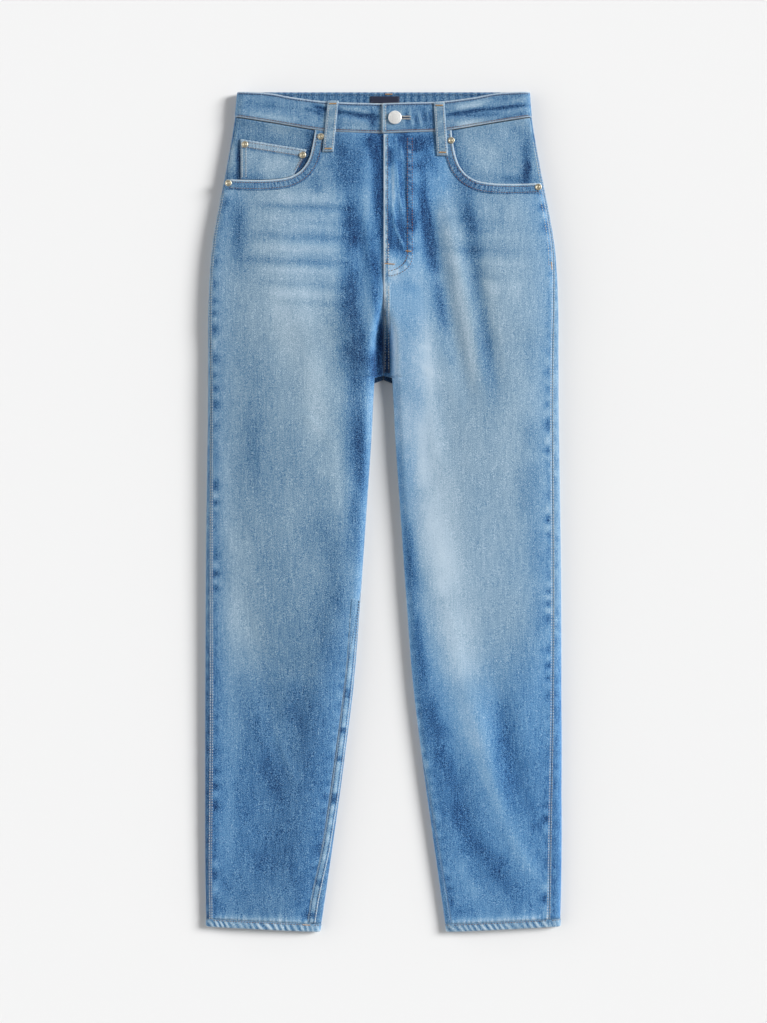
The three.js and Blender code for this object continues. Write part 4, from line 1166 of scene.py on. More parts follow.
def back_wash_and_shade(side, patch):
    """Wash and depth of creases of the back, the same on both legs but for their waves, with painted shade along
    the outer fold.
    """
    x, y = patch.xy
    wash_and_shade = 0.9 * wash_at[side["name"]](y) + 0.04 + stroke_sum(BACK_STROKES, np.abs(x), y)
    wash_and_shade += 0.05 * waves(x, y * 0.4, 50, side["sign"] + 7)
    ripple = pucker(y, OUT_PITCH, side["sign"] + 3)
    start = patch.values["start"]
    # Painted shade: darker along the outer fold, against the key light falling on it; the rest along the seam is
    # its roping.
    wash_and_shade += -0.13 * near(start, 5, 4) * (0.6 - ripple) - 0.1 * (1 - smoothstep(start, 10, 24))
    wash_and_shade += -0.08 * near(patch.values["end"], 5, 5) * (0.5 - pucker(y, IN_PITCH, 5))
    return wash_and_shade, ripple


RECESS_SHADE_DEPTH = 0.9


def painted_recess_shade(patch):
    """How far a point lies in the deep fold under the crotch, where the back is darkened as painted shade."""
    x, y = patch.xy
    along = smoothstep(y, 120, 190) * (1 - smoothstep(y, 300, 340))
    return along * (1 - smoothstep(np.abs(x), 14, 34))


def back_panel(side):
    rows = row_heights(YOKE_SEAM["centre"], PANEL_END_Y, BACK_ROW_STEP)
    patch = panel(side, BACK, rows, bent_row(YOKE_SEAM["centre"], yoke_seam))
    wash_and_shade, ripple = back_wash_and_shade(side, patch)
    x, y = patch.xy
    flat = facing_table(patch.normals)
    relief = stroke_sum(BACK_CREASES, np.abs(x), y) * flat - UNDERSIDE_CLEAR * flat
    relief += 0.25 * near(patch.values["start"], 5, 4) * ripple * (1 - flat)
    patch = patch.moved(np.minimum(relief, np.where(flat > 0.5, -UNDERSIDE_CLEAR, 1)))
    wear = 0.3 * near(patch.values["start"], 0, 1.5) + 0.3 * near(patch.values["end"], 0, 1.5)
    # Painted shade: the back is darkened in the fold under the crotch, on its outer face where raised and on its
    # inner face.
    painted_shade = RECESS_SHADE_DEPTH * painted_recess_shade(patch)
    raised = smoothstep(patch.points[:, 2], 2, 5)
    finish_values(patch, wash_and_shade - painted_shade * raised, vivid_at[side["name"]](y), wear)
    name = f"back_{side['name']}"
    inside = np.clip(wash_and_shade - painted_shade, *WASH_AND_SHADE_RANGE)
    return cloth(f"{name}_cloth", patch, DENIM, DENIM_CLOTH, name, inside=inside)


def back_yoke(side):
    def row_y(s, x):
        return mix(waist_seam["back"](x) - SEAM_GAP / 2, yoke_seam(x) + SEAM_GAP / 2, s)

    patch = panel(side, BACK, np.linspace(0, 1, 22), row_y)
    wash_and_shade = back_wash_and_shade(side, patch)[0]
    flat = facing_table(patch.normals)
    edge = near(patch.values["row"], 1, 0.04) + near(patch.values["end"], 0, 1.5)
    patch = patch.moved(-UNDERSIDE_CLEAR * flat)
    finish_values(patch, wash_and_shade - 0.05, 0.3, 0.35 * edge)
    name = f"yoke_{side['name']}"
    return cloth(f"{name}_cloth", patch, DENIM, DENIM_CLOTH, name)


# Strokes on the pocket facings: the dark ones near the side seams, in a fold and beside the mouths' curves are
# painted shade, the pale ones their wash.
FACING_WASH_AND_SHADE = table(
    "x0 y0 x1 y1 width rise",
    (104, 470, 150, 440, 18, 0.12), (183, 444, 178, 412, 7, -0.6), (183, 474, 183, 430, 6, -0.3),
    (-184, 472, -184, 418, 2.2, -0.5), (-96, 462, -103, 436, 4, -0.45), (-196, 480, -194, 425, 8, 0.14),
    (-150, 494, -100, 484, 9, 0.12), (-104, 458, -108, 444, 6, 0.3), (176, 470, 182, 440, 6, -0.2),
    (150, 423, 176, 421, 4, -0.3), (160, 488, 185, 478, 7, -0.15), (-196, 470, -190, 440, 12, 0.1),
    (-183, 462, -183, 414, 4, -0.4), (-150, 492, -120, 478, 8, 0.16), (-192, 470, -190, 430, 6, 0.12),
)
FACING_TONE = dict(right=0.38, left=0.57)


def facing_wash_and_shade(side, x, y):
    """The facings' tone and strokes, with painted shade near the side seams, in a fold and beside the mouths'
    curves.
    """
    base = FACING_TONE[side["name"]]
    return base + stroke_sum(FACING_WASH_AND_SHADE, x, y) + 0.06 * waves(x, y, 38, 11 + side["sign"])


def pocket_facing(side):
    patch = front_patch(side, bottom=FACING_END_Y)
    patch.points[:, 1] -= smoothstep(patch.values["row"], WAIST_Y - 6, WAIST_Y)
    below = mouth_distance(side, *patch.xy)[0]
    patch = clip(patch, FACING_REACH - below)
    x, y = patch.xy
    below = mouth_distance(side, x, y)[0]
    from_band = waist_seam["front"](np.abs(x)) - y
    sewn = np.maximum(1 - smoothstep(from_band, 0, 12), 1 - smoothstep(patch.values["start"], 0, 9))
    relief = -(DENIM + SEAM_GAP) * (1 - 0.85 * sewn) + 0.5 * waves(x, y, 42, 3) * smoothstep(-below, 3, 20)
    patch = patch.moved(relief)
    shade = 0.35 * near(below, 0, 8) * smoothstep(y, 416, 436)
    finish_values(patch, facing_wash_and_shade(side, x, y) - shade, 0.05 if side["sign"] < 0 else 0.25)
    name = f"facing_{side['name']}"
    return cloth(f"{name}_cloth", patch, FACING_WALL, DENIM_CLOTH, name)


def flat_grid(x0, x1, y0, y1, step, height):
    """An even grid seen from above, laid on a surface."""
    xs = np.linspace(x0, x1, int(abs(x1 - x0) / step) + 1)
    ys = np.linspace(y0, y1, int(abs(y1 - y0) / step) + 1)
    x, y = (g.ravel() for g in np.meshgrid(xs, ys, indexing="ij"))
    points = np.stack([x, y, height(x, y)], -1)
    return Patch(points, surface_normals(height, x, y), grid_faces(len(xs), len(ys)))


def below_top(outline, x, y):
    """How far a point lies below a pocket's top edge, between the outline's first two corners."""
    (x0, x1), (y0, y1) = outline["x"][:2], outline["y"][:2]
    return mix(y0, y1, (np.abs(x) - x0) / (x1 - x0)) - y


COIN_HEM = 9


def coin_pocket():
    side = SIDES["right"]
    low, high = COIN_POCKET["x"].min(), COIN_POCKET["x"].max()
    patch = flat_grid(-high - 1, -low + 1, 410, 475, 1.3, front_z)
    patch = clip(patch, polygon_keep(COIN_POCKET, -1, *patch.xy))
    below = mouth_distance(side, *patch.xy)[0]
    patch = clip(patch, -2 * SEAM_GAP - below)
    x, y = patch.xy
    inside = polygon_keep(COIN_POCKET, -1, x, y)
    top = below_top(COIN_POCKET, x, y)
    hem = 1 - smoothstep(top, COIN_HEM, COIN_HEM + 1.5)
    edge = near(inside, 0, 1.2)
    border = 1 - smoothstep(x + high, 7, 8.5)
    relief = COIN_WALL - DENIM + 0.45 * hem + 0.3 * border - 0.4 * edge
    relief += 0.2 * hem * np.sin(x * 2 * np.pi / 4.6 + 0.6 * np.sin(x / 7))
    patch = patch.moved(relief)
    wash_and_shade = 0.62 + 0.08 * waves(x, y, 30, 2) + 0.12 * hem * (0.5 + 0.5 * np.sin(x * 2 * np.pi / 4.6))
    # Painted shade: a dark line below the hem's edge, and the lower corner by the side seam darker.
    wash_and_shade += -0.3 * near(top, COIN_HEM + 2, 1.2) + 0.12 * stroke_sum(
        table("x0 y0 x1 y1 width rise", (-118, 446, -160, 436, 12, 1)), x, y
    )
    wash_and_shade += -0.45 * near(y, 419, 9) * smoothstep(-x, 140, 172)
    finish_values(patch, wash_and_shade, 0.15, 0.6 * edge + 0.25 * hem)
    return cloth("coin_pocket_cloth", patch, COIN_WALL - 0.05, DENIM_CLOTH, "coin_pocket", slot="trim")


HEM_ROWS = 9
HEM_STITCH = 0.12  # where the hem is stitched, as a share of its height
ROPE_PITCH = 8.4


def hem_band(side):
    """The turned-up hem, roped by washing: diagonal ridges, paler on their crests."""
    rows = np.linspace(0, 1, HEM_ROWS)
    shares = np.linspace(0, 1, 101)
    front = panel(side, FRONT, rows, hem_row, gap=0, shares=shares)
    back = panel(side, BACK, rows, hem_row, gap=0, shares=shares)

    def ring(values):
        columns = len(shares)
        parts = [values(p).reshape(HEM_ROWS, columns, -1) for p in (front, back)]
        return np.concatenate([parts[0][:, :-1], parts[1][:, ::-1][:, :-1]], axis=1)

    points, normals = ring(lambda p: p.points), ring(lambda p: p.normals)
    count = points.shape[1]
    round_it = lengths_along(points[0])[None, :]
    s = rows[:, None]
    lean = side["sign"] * 6.5
    phase = 2 * np.pi * (round_it + lean * s) / ROPE_PITCH + 1.7 * np.sin(round_it / 17 + side["sign"])
    phase += 1.1 * np.sin(round_it / 6.1 + 2 * side["sign"])
    rope = np.sin(phase) * (0.68 + 0.32 * np.sin(round_it / 13 + 2.2 * np.sin(round_it / 41)))
    body = smoothstep(s, 0.02, 0.3)
    rolled = smoothstep(s, 0.82, 1.0)
    relief = HEM_RISE + 0.28 * rope * body - 0.9 * rolled - 0.3 * (1 - smoothstep(s, 0, 0.1))
    flat = facing_table(normals)
    relief = np.where(flat > 0, np.minimum(relief, mix(relief, -UNDERSIDE_CLEAR / 2, flat)), relief)
    x, y = points[..., 0], points[..., 1]
    wash_and_shade = 0.62 + 0.42 * rope * body - 0.1 * (1 - body) + 0.1 * waves(x, y, 30, 4) + 0.2 * rolled
    wear = 0.35 * rolled + 0.35 * smoothstep(rope, 0.2, 1) * body
    patch = Patch(points.reshape(-1, 3), normals.reshape(-1, 3), grid_faces(HEM_ROWS, count, wrap=True))
    patch = patch.moved(relief.ravel())
    finish_values(patch, wash_and_shade.ravel(), 0.35, wear.ravel())
    name = f"hem_{side['name']}"
    return cloth(f"{name}_cloth", patch, HEM_WALL, DENIM_CLOTH, name, slot="trim")


BAND_ROWS = 19


def band_patch():
    """The waistband's outer surface, from the button end round the back to the lower end."""
    rows = np.linspace(0, 1, BAND_ROWS)

    def part(side, face, name, count):
        def row_y(h, x):
            return mix(waist_seam[name](x) + SEAM_GAP / 2, waist_top[name](x), h)

        patch = panel(side, face, rows, row_y, gap=0, shares=np.linspace(0, 1, count + 1))
        shape = (BAND_ROWS, count + 1, 3)
        return patch.points.reshape(shape), patch.normals.reshape(shape)

    left, right = SIDES["left"], SIDES["right"]
    fronts = {s["name"]: part(s, FRONT, "front", BAND_COLUMNS["front"]) for s in (left, right)}
    backs = {s["name"]: part(s, BACK, "back", BAND_COLUMNS["back"]) for s in (left, right)}
    fronts["left"][0][..., 2] += (BAND_LAP_LIFT - FLY_LIFT) * lap_share(fronts["left"][0][..., 0])
    for points, normals in backs.values():
        points[..., 2] -= BAND_RISE * np.minimum(normals[..., 2], 0)
    h = rows[:, None]

    def lap(side, xs, lift):
        x = np.array(xs, float)[None, :] + 0 * h
        y = mix(waist_seam["front"](np.abs(x)) + SEAM_GAP / 2, waist_top["front"](np.abs(x)), h)
        z = top_height(side, x * side["sign"], y) + lift
        return np.stack([x, y, z], -1), np.zeros((*x.shape, 3)) + np.array([0, 0, 1.0])

    end = lap(left, [OVERLAP_X], BAND_LAP_LIFT)
    under = lap(right, np.linspace(2, UNDERLAP_X, 12), 0)
    order = [
        end,
        tuple(a[:, ::-1] for a in fronts["left"]),
        tuple(a[:, 1:] for a in backs["left"]),
        tuple(a[:, ::-1][:, 1:] for a in backs["right"]),
        tuple(a[:, 1:] for a in fronts["right"]),
        under,
    ]
    points = np.concatenate([p for p, n in order], axis=1)
    normals = np.concatenate([n for p, n in order], axis=1)
    return points, normals, rows


def waistband():
    points, normals, rows = band_patch()
    count = points.shape[1]
    h = np.repeat(rows[:, None], count, axis=1)
    x, y = points[..., 0], points[..., 1]
    facing_up = smoothstep(normals[..., 2], 0, 0.6)
    stitched = near(h, 0.075, 0.03) + near(h, 0.925, 0.03)
    facing_down = facing_table(normals)
    ribs = np.sin(2 * np.pi * x / 9 + 1.4 * np.sin(x / 23)) * (1 - facing_up)
    rolled = near(h, 0, 0.035) + near(h, 1, 0.035)
    end = near(x, OVERLAP_X, 0.9) * (normals[..., 2] > 0.99)
    relief = BAND_RISE + stroke_sum(BAND_CREASES, x, y) * facing_up + 0.2 * waves(x, y, 40, 6) * facing_up
    relief -= 0.25 * stitched * facing_up + 0.45 * rolled
    relief -= 0.4 * ribs * near(h, 1, 0.3) + UNDERSIDE_CLEAR * facing_down
    wash_and_shade = 0.5 + stroke_sum(BAND_WASH_AND_SHADE, x, y) * facing_up + 0.07 * waves(x, y, 34, 9)
    wash_and_shade = mix(wash_and_shade, 0.33 - 0.16 * ribs, 1 - facing_up)
    wash_and_shade += 0.16 * (near(h, 0, 0.05) + near(h, 1, 0.05)) - 0.42 * stitched * facing_up
    wash_and_shade += facing_up * (x > -1) * (0.25 * near(x, 0, 1.4) - 0.2 * near(x, 4.6, 1.4))
    wear = 1.5 * facing_up * (near(h, 1, 0.045) + near(h, 0, 0.045)) + 1.3 * end
    patch = Patch(points.reshape(-1, 3), normals.reshape(-1, 3), grid_faces(BAND_ROWS, count))
    patch = patch.moved(relief.ravel())
    finish_values(patch, wash_and_shade.ravel(), 0.3, wear.ravel())
    return cloth("waistband_cloth", patch, BAND_WALL - 0.2, DENIM_CLOTH, "waistband")


def band_z(x, y):
    """Outer surface of the waistband's front."""
    x, y = np.broadcast_arrays(np.asarray(x, float), np.asarray(y, float))
    lap = np.where(x > OVERLAP_X - 0.5, BAND_LAP_LIFT * lap_share(np.abs(x)), 0)
    plain = np.where(x < 0, top_height(SIDES["right"], -x, y), top_height(SIDES["left"], np.abs(x), y))
    return plain + BAND_RISE + lap + stroke_sum(BAND_CREASES, x, y)


def front_loop(name):
    """A belt loop over the waistband: a folded strip with a stitched row along each edge."""
    spec = FRONT_LOOPS[name]
    s = np.linspace(0, 1, 34)
    w = np.linspace(-0.5, 0.5, 13)
    along, over = np.meshgrid(s, w, indexing="ij")
    x = mix(spec["top_x"], spec["end_x"], along) + over * LOOP["width"]
    y = mix(spec["top_y"], spec["end_y"], along)
    lap = BAND_LAP_LIFT * lap_share(x) * (x > 0)
    settle = BAND_RISE * (1 - smoothstep(along, LOOP["settle"], 1)) + lap * (1 - along)
    wave = 0.35 * np.sin(along * 9 + 1.3 * spec["top_x"])
    rounded = 0.5 * near(np.abs(over), 0.5, 0.045) + 0.35 * near(np.abs(along - 0.5), 0.5, 0.015)
    channel = 0.18 * near(np.abs(over), 0.34, 0.05)
    base = front_z(x, y) - np.where(x > 0, fly_lift(x, y), 0) + settle + LOOP["wall"] + LOOP["clearance"]
    z = base + wave * np.sin(np.pi * along) - rounded - channel
    grid = np.stack([x, y, z], -1)
    patch = grid_patch(grid)
    normals = patch.normals.reshape(grid.shape)
    edge = near(np.abs(over), 0.47, 0.06)
    ends = near(np.abs(along - 0.5), 0.49, 0.02)
    wash_and_shade = 0.56 + 0.08 * np.sin(along * 21 + over * 3) + 0.2 * edge - 0.3 * near(np.abs(over), 0.34, 0.05)
    finish_values(patch, wash_and_shade.ravel(), 0.0, (0.6 * edge + 0.5 * ends).ravel())
    node = f"loop_front_{name}"
    piece = cloth(f"{node}_cloth", patch, LOOP["wall"] - 0.1, DENIM_CLOTH, node, slot="trim")
    for edge_at in (-0.34, 0.34):
        k = int(np.argmin(np.abs(w - edge_at)))
        sew("loops", "pale", grid[1:-1, k] + normals[1:-1, k] * 0.05, normals[1:-1, k], pitch=3.2, width=0.8)
    for row in (2, len(s) - 3):
        middle = grid[row, len(w) // 2] + normals[row, len(w) // 2] * 0.15
        direction = grid[row, -1] - grid[row, 0]
        bartack("loops", "orange", middle, direction / np.linalg.norm(direction), normals[row, 6], 7.5)
    return piece


UNDER = dict(outer=0.32, wall=1.2)


def under_patch(x0, x1, y0, y1, step):
    """A grid on the underside, facing the table."""
    patch = flat_grid(x0, x1, y0, y1, step, lambda x, y: UNDER["outer"] + 0 * x)
    patch.normals = np.zeros_like(patch.points) + np.array([0, 0, -1.0])
    return patch


def back_loop(name):
    x = BACK_LOOPS[name]
    half, top = LOOP["width"] / 2, WAIST_TOP["back"][0] - LOOP["drop"]
    patch = under_patch(x - half, x + half, top - LOOP["length"], top, 1.2)
    px, py = patch.points[:, 0] - x, patch.points[:, 1]
    edge = near(np.abs(px), half, 0.9)
    ends = near(np.abs(py - top + LOOP["length"] / 2), LOOP["length"] / 2, 0.9)
    patch = patch.moved(-0.3 * np.maximum(edge, ends) - 0.15 * near(np.abs(px), half - 2, 0.7))
    finish_values(patch, 0.6 + 0.2 * edge, 0.05, 0.6 * edge + 0.4 * ends)
    node = f"loop_back_{name}"
    piece = cloth(f"{node}_cloth", patch, UNDER["wall"], DENIM_CLOTH, node, slot="trim")
    for offset in (-half + 2, half - 2):
        line = straight(x + offset, top - LOOP["length"] + 2, x + offset, top - 2)
        sew_under("loops_back", "pale", line)
    for y in (top - 3, top - LOOP["length"] + 3):
        bartack("loops_back", "orange", (x, y, UNDER["outer"]), (1, 0, 0), (0, 0, -1), 8)
    return piece


def sew_under(group, thread, line, z=None, **sizes):
    """Stitches along a line on the underside."""
    line = np.asarray(line, float)
    level = UNDER["outer"] - 0.02 if z is None else z
    points = np.column_stack([line, np.zeros(len(line)) + level])
    normals = np.zeros_like(points) + np.array([0, 0, -1.0])
    sew(group, thread, points, normals, **{"height": 0.28, "sink": 0.25, **sizes})


POCKET_HEM = 16
POCKET_ROWS = (2.2, 8.5)  # insets of its two stitched rows


def back_pocket(side):
    sign = side["sign"]
    xs = sorted((BACK_POCKET["x"].min() * sign, BACK_POCKET["x"].max() * sign))
    patch = under_patch(xs[0] - 1, xs[1] + 1, BACK_POCKET["y"].min() - 1, BACK_POCKET["y"].max() + 1, 2.2)
    patch = clip(patch, polygon_keep(BACK_POCKET, sign, *patch.xy))
    x, y = patch.xy
    inside = polygon_keep(BACK_POCKET, sign, x, y)
    top = below_top(BACK_POCKET, x, y)
    hem = 1 - smoothstep(top, POCKET_HEM - 1, POCKET_HEM + 1)
    edge = near(inside, 0, 1.6)
    seam = near(inside, 4, 1.6)
    patch = patch.moved(-0.25 * edge - 0.1 * seam - 0.12 * (1 - hem))
    wash_and_shade = 0.62 + 0.1 * waves(x, y, 60, 5 + sign) + 0.12 * edge - 0.18 * near(inside, 9, 2)
    wash_and_shade += 0.08 * pucker(x + y, 14, sign) * near(inside, 5, 4)
    finish_values(patch, wash_and_shade, 0.2, 0.5 * edge)
    name = f"back_pocket_{side['name']}"
    piece = cloth(f"{name}_cloth", patch, UNDER["wall"], DENIM_CLOTH, name)
    corners = np.stack([BACK_POCKET["x"] * sign, BACK_POCKET["y"]], -1)
    middle = corners.mean(axis=0)
    for inset in POCKET_ROWS:
        ring = corners + (middle - corners) / np.linalg.norm(middle - corners, axis=1)[:, None] * inset * 1.25
        for a, b in ((1, 2), (2, 3), (3, 4), (4, 0)):
            sew_under("pockets_back", "rust", straight(*ring[a], *ring[b]))
    for down in (3, POCKET_HEM):
        a, b = corners[0] + [2 * sign, -down], corners[1] + [-2 * sign, -down]
        sew_under("pockets_back", "rust", straight(*a, *b))
    for a in corners[:2]:
        inward = -sign if abs(a[0]) > 100 else sign
        centre = (a[0] + inward * 3, a[1] - 4, UNDER["outer"])
        bartack("pockets_back", "orange", centre, (0, 1, 0), (0, 0, -1), 8)
    return piece


# Hardware and label


def turned(profile, sides):
    """A closed solid turned round Z from (radius, height) rows that start and end on the axis."""
    inner = profile[1:-1]
    angles = 2 * np.pi * np.arange(sides) / sides
    rings = [np.stack([r * np.cos(angles), r * np.sin(angles), np.full(sides, h)], -1) for r, h in inner]
    points = np.vstack([[[0, 0, profile[0][1]]], *rings, [[0, 0, profile[-1][1]]]])
    faces = grid_faces(len(inner), sides, wrap=True) + 1
    k = np.arange(sides)
    n = (k + 1) % sides
    bottom = np.stack([np.zeros(sides, int), n + 1, k + 1], -1)
    last = 1 + (len(inner) - 1) * sides
    top = np.stack([np.full(sides, len(points) - 1), last + k, last + n], -1)
    if np.dot(np.cross(*(points[faces[0][[1, 2]]] - points[faces[0][0]])), points[faces[0][0]]) < 0:
        faces = faces[:, ::-1]
    faces = np.vstack([bottom, faces, top])
    return points, faces


RIVET_ROWS = [
    (0, 0), (4.1, 0), (4.25, 0.25), (4.2, 0.7), (3.9, 1.05), (3.3, 1.3), (2.7, 1.3), (2.2, 1.1),
    (1.9, 0.8), (1.75, 0.75), (1.5, 1.0), (1.3, 1.45), (0.9, 1.7), (0.4, 1.62), (0, 1.55),
]
BUTTON_ROWS = [
    (0, 0), (2.4, 0), (2.4, 3.4), (7.9, 3.4), (8.4, 3.65), (8.5, 4.1), (8.35, 4.6), (7.9, 5.0), (7.3, 5.25),
    (6.9, 5.28), (6.6, 5.2), (6.2, 5.3), (5.0, 5.55), (3.2, 5.8), (1.4, 5.95), (0, 6.0),
]


def hardware(name, rows, sides, material):
    """A turned metal piece where its CAD node is."""
    low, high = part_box(name)
    points, faces = turned(rows, sides)
    place = np.array([(low.x + high.x) / 2, (low.y + high.y) / 2, low.z]) / MM - shift
    points = points + place
    piece = mesh_object(f"{name}_metal", points, turned_out(points, faces), material)
    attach(piece, "root")
    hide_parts(name)
    return piece


def inner_label():
    """A plain woven label on the inside of the back, sunk a little at its edges and stitched near its ends."""
    low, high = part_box("inner_label")
    x0, x1 = low.x / MM - shift[0], high.x / MM - shift[0]
    y0, y1 = low.y / MM - shift[1], high.y / MM - shift[1]
    base, top = low.z / MM, high.z / MM
    patch = flat_grid(x0, x1, y0, y1, 1.2, lambda x, y: top + 0 * x)
    x, y = patch.xy
    inset = np.minimum(np.minimum(x - x0, x1 - x), np.minimum(y - y0, y1 - y))
    patch = patch.moved(-0.2 * near(inset, 0, 0.8) - 0.12 * near(inset, 1.8, 0.5) + 0.06 * waves(x, y, 16, 3))
    patch.values = {}
    piece = cloth("inner_label_cloth", patch, top - base - 0.25, LABEL_CLOTH, "inner_label", slot="label")
    for line in ((x0 + 1.8, y0 + 1, x0 + 1.8, y1 - 1), (x1 - 1.8, y0 + 1, x1 - 1.8, y1 - 1)):
        sew_on("label", "navy", lambda x, y: top + 0 * x, straight(*line), lift=0)
    bartack("label", "orange", (7, y1 + 2.6, base + 0.3), (1, 0, 0), (0, 0, 1), 8)
    return piece


# Strips along the seams


def strip(name, line, offsets, height, lift, wash_and_shade, vivid, wear, slot="denim"):
    patch, wall = ribbon(line, offsets, height, lift, wash_and_shade, vivid, wear)
    return cloth(name, patch, wall, DENIM_CLOTH, slot=slot)


def even_line(line, step):
    """A line seen from above with points at an even step."""
    length = lengths_along(line)
    at = np.linspace(0, length[-1], int(length[-1] / step) + 1)
    return np.stack([np.interp(at, length, line[:, k]) for k in range(2)], -1)


MOUTH = dict(width=13.5, first_row=3.2, second_row=10.8, lift=0.5)


def mouth_hem(side):
    """The turned hem of a pocket mouth, puckered between its two stitched rows."""
    sign = side["sign"]
    curve = scoop_curve(side, 400)
    limit = np.array([outer_x(y) for y in curve[:, 1]]) - side["outseam_at"](curve[:, 1]) - 1
    curve = even_line(curve[(np.abs(curve[:, 0]) < limit) & (curve[:, 1] < WAIST_Y + 4)], 0.95)
    steps = [0.05, 0.5, 1.1, 1.9, 2.6, 3.2, 4, 5.2, 6.4, 7.6, 8.8, 10, 10.8, 11.6, 12.6]
    across_at = np.array([*steps, MOUTH["width"]])

    def puckers(u, v):
        band = smoothstep(v, 3, 4.6) * (1 - smoothstep(v, 9.4, 11))
        beat = 0.62 + 0.38 * np.sin(u / 11 + 2 * np.sin(u / 29))
        wander = 1.7 * np.sin(u / 9) + 0.9 * np.sin(u / 3.7)
        return band * beat * np.sin(2 * np.pi * u / 4.4 + wander + 0.25 * v)

    def lift(u, v):
        v = np.abs(v)
        roll = fold(v, 1.6)
        down = 1 - smoothstep(v, 11.2, MOUTH["width"])
        rows = near(v, MOUTH["first_row"], 0.6) + near(v, MOUTH["second_row"], 0.6)
        return MOUTH["lift"] * roll * down + 0.22 * puckers(u, v) - 0.16 * rows * roll

    def wash_and_shade(x, y, u, v):
        v = np.abs(v)
        base = front_wash_and_shade(side, x, y) + 0.05 * waves(x, y, 20, 3)
        # Painted shade: a dark line where the hem steps down at its outer edge, and darker cloth below the
        # mouth's lower curve.
        bright = 0.35 * (1 - smoothstep(v, 0.8, 2.8)) + 0.12 * puckers(u, v) - 0.16 * near(v, 12.2, 1.2)
        return base + bright - (v > 3) * (0.05 + 0.15 * (1 - smoothstep(y, 440, 470)))

    def wear(u, v):
        v = np.abs(v)
        return 1.3 * (1 - smoothstep(v, 0.8, 2.0)) + 0.3 * smoothstep(puckers(u, v), 0.3, 1)

    offsets = -sign * across_at
    piece = strip(f"pocket_mouth_{side['name']}", curve, offsets, front_z, lift, wash_and_shade, 0.3, wear)
    for row in (MOUTH["first_row"], MOUTH["second_row"]):
        line = offset_line(curve, -sign * row)[4:-3]
        sew_on("mouths", "rust", front_z, line, lift=MOUTH["lift"] - 0.02, pitch=3.3, width=0.8)
    return piece


FLY_STRIP = dict(width=7, begin=478, end=258)


def fly_edge():
    """The folded edge of the fly on the left front, with its stitched row."""
    line = straight(0.4, FLY_STRIP["end"], 0.4, FLY_STRIP["begin"], step=1.2)
    offsets = -np.array([0.05, 0.5, 1.0, 1.6, 2.4, 3.2, 4, 4.6, 5.2, 6, FLY_STRIP["width"]])

    def ripple(u, v):
        return np.sin(u / 2.3 + 1.7 * np.sin(u / 14)) * near(v, 3.2, 1.6)

    def lift(u, v):
        v = np.abs(v)
        row = near(v, 4.6, 0.6)
        return 0.6 * fold(v, 1.4) * (1 - smoothstep(v, 5.2, 6.8)) + 0.2 * ripple(u, v) - 0.2 * row + 0.02

    def wash_and_shade(x, y, u, v):
        v = np.abs(v)
        inner = front_wash_and_shade(SIDES["left"], x, y)
        cloth_tone = 0.6 + 0.16 * ripple(u, v) + 0.1 * np.sin(u / 11)
        edge = 0.4 * (1 - smoothstep(v, 1.2, 2.6))
        return mix(cloth_tone + edge, inner, smoothstep(v, 4.6, 6.4)) - 0.3 * near(v, 5.6, 0.8)

    def wear(u, v):
        return 1.3 * (1 - smoothstep(np.abs(v), 0.8, 2.0)) + 0.2 * ripple(u, np.abs(v))

    piece = strip("fly_edge", line, offsets, front_z, lift, wash_and_shade, 0.35, wear)
    row = straight(5, FLY_STRIP["end"] + 56, 5, FLY_STRIP["begin"])
    sew_on("fly", "rust", front_z, row, lift=0.42, width=0.8)
    return piece


JAY = dict(x=36.5, gap=6, top=474, turn=322, low=298)
CENTRE_ROWS = dict(front=(2.4, 6.6), back=(2, 8))  # stitched rows, as distances from the centre line


def jay_line(inset):
    """The curved row that holds the fly: down beside its edge, then round to the centre."""
    x, turn_y = JAY["x"] - inset, JAY["turn"] + inset
    angles = np.linspace(0, np.pi / 2, 24)
    radius = (x - 2, turn_y - JAY["low"] - inset)
    round_it = np.stack([2 + radius[0] * np.cos(angles), turn_y - radius[1] * np.sin(angles)], -1)
    return np.vstack([straight(x, JAY["top"], x, turn_y, step=2), round_it[1:]])


def jay_band():
    """The cloth between the fly's two curved rows, drawn up into small puckers."""
    line = even_line(jay_line(0), 1.3)
    width = JAY["gap"]
    offsets = np.array([1.4, 0.6, 0, -0.6, -1.6, -2.6, -3.6, -4.6, -5.4, -width, -width - 0.6, -width - 1.4])

    def ripple(u, v):
        body = smoothstep(v, 0.2, 1.6) * (1 - smoothstep(v, width - 1.6, width - 0.2))
        return body * np.sin(u / 1.5 + 1.4 * np.sin(u / 8) + 0.4 * v) * (0.7 + 0.3 * np.sin(u / 19))

    def lift(u, v):
        v = -v
        ends = smoothstep(v, -1.4, -0.4) * (1 - smoothstep(v, width + 0.4, width + 1.4))
        rows = near(v, 0, 0.5) + near(v, width, 0.5)
        return ends * (0.3 + 0.22 * ripple(u, v) - 0.14 * rows) + 0.02

    def wash_and_shade(x, y, u, v):
        v = -v
        base = front_wash_and_shade(SIDES["left"], x, y)
        rows = near(v, 0, 0.7) + near(v, width, 0.7)
        return base + 0.06 + 0.17 * ripple(u, v) - 0.16 * rows

    def wear(u, v):
        return 0.4 * smoothstep(ripple(u, -v), 0.35, 0.9)

    piece = strip("fly_jay", line, offsets, front_z, lift, wash_and_shade, 0.9, wear)
    for inset in (0, width):
        sew_on("fly", "rust", front_z, jay_line(inset), lift=0.22, width=0.9)
    return piece


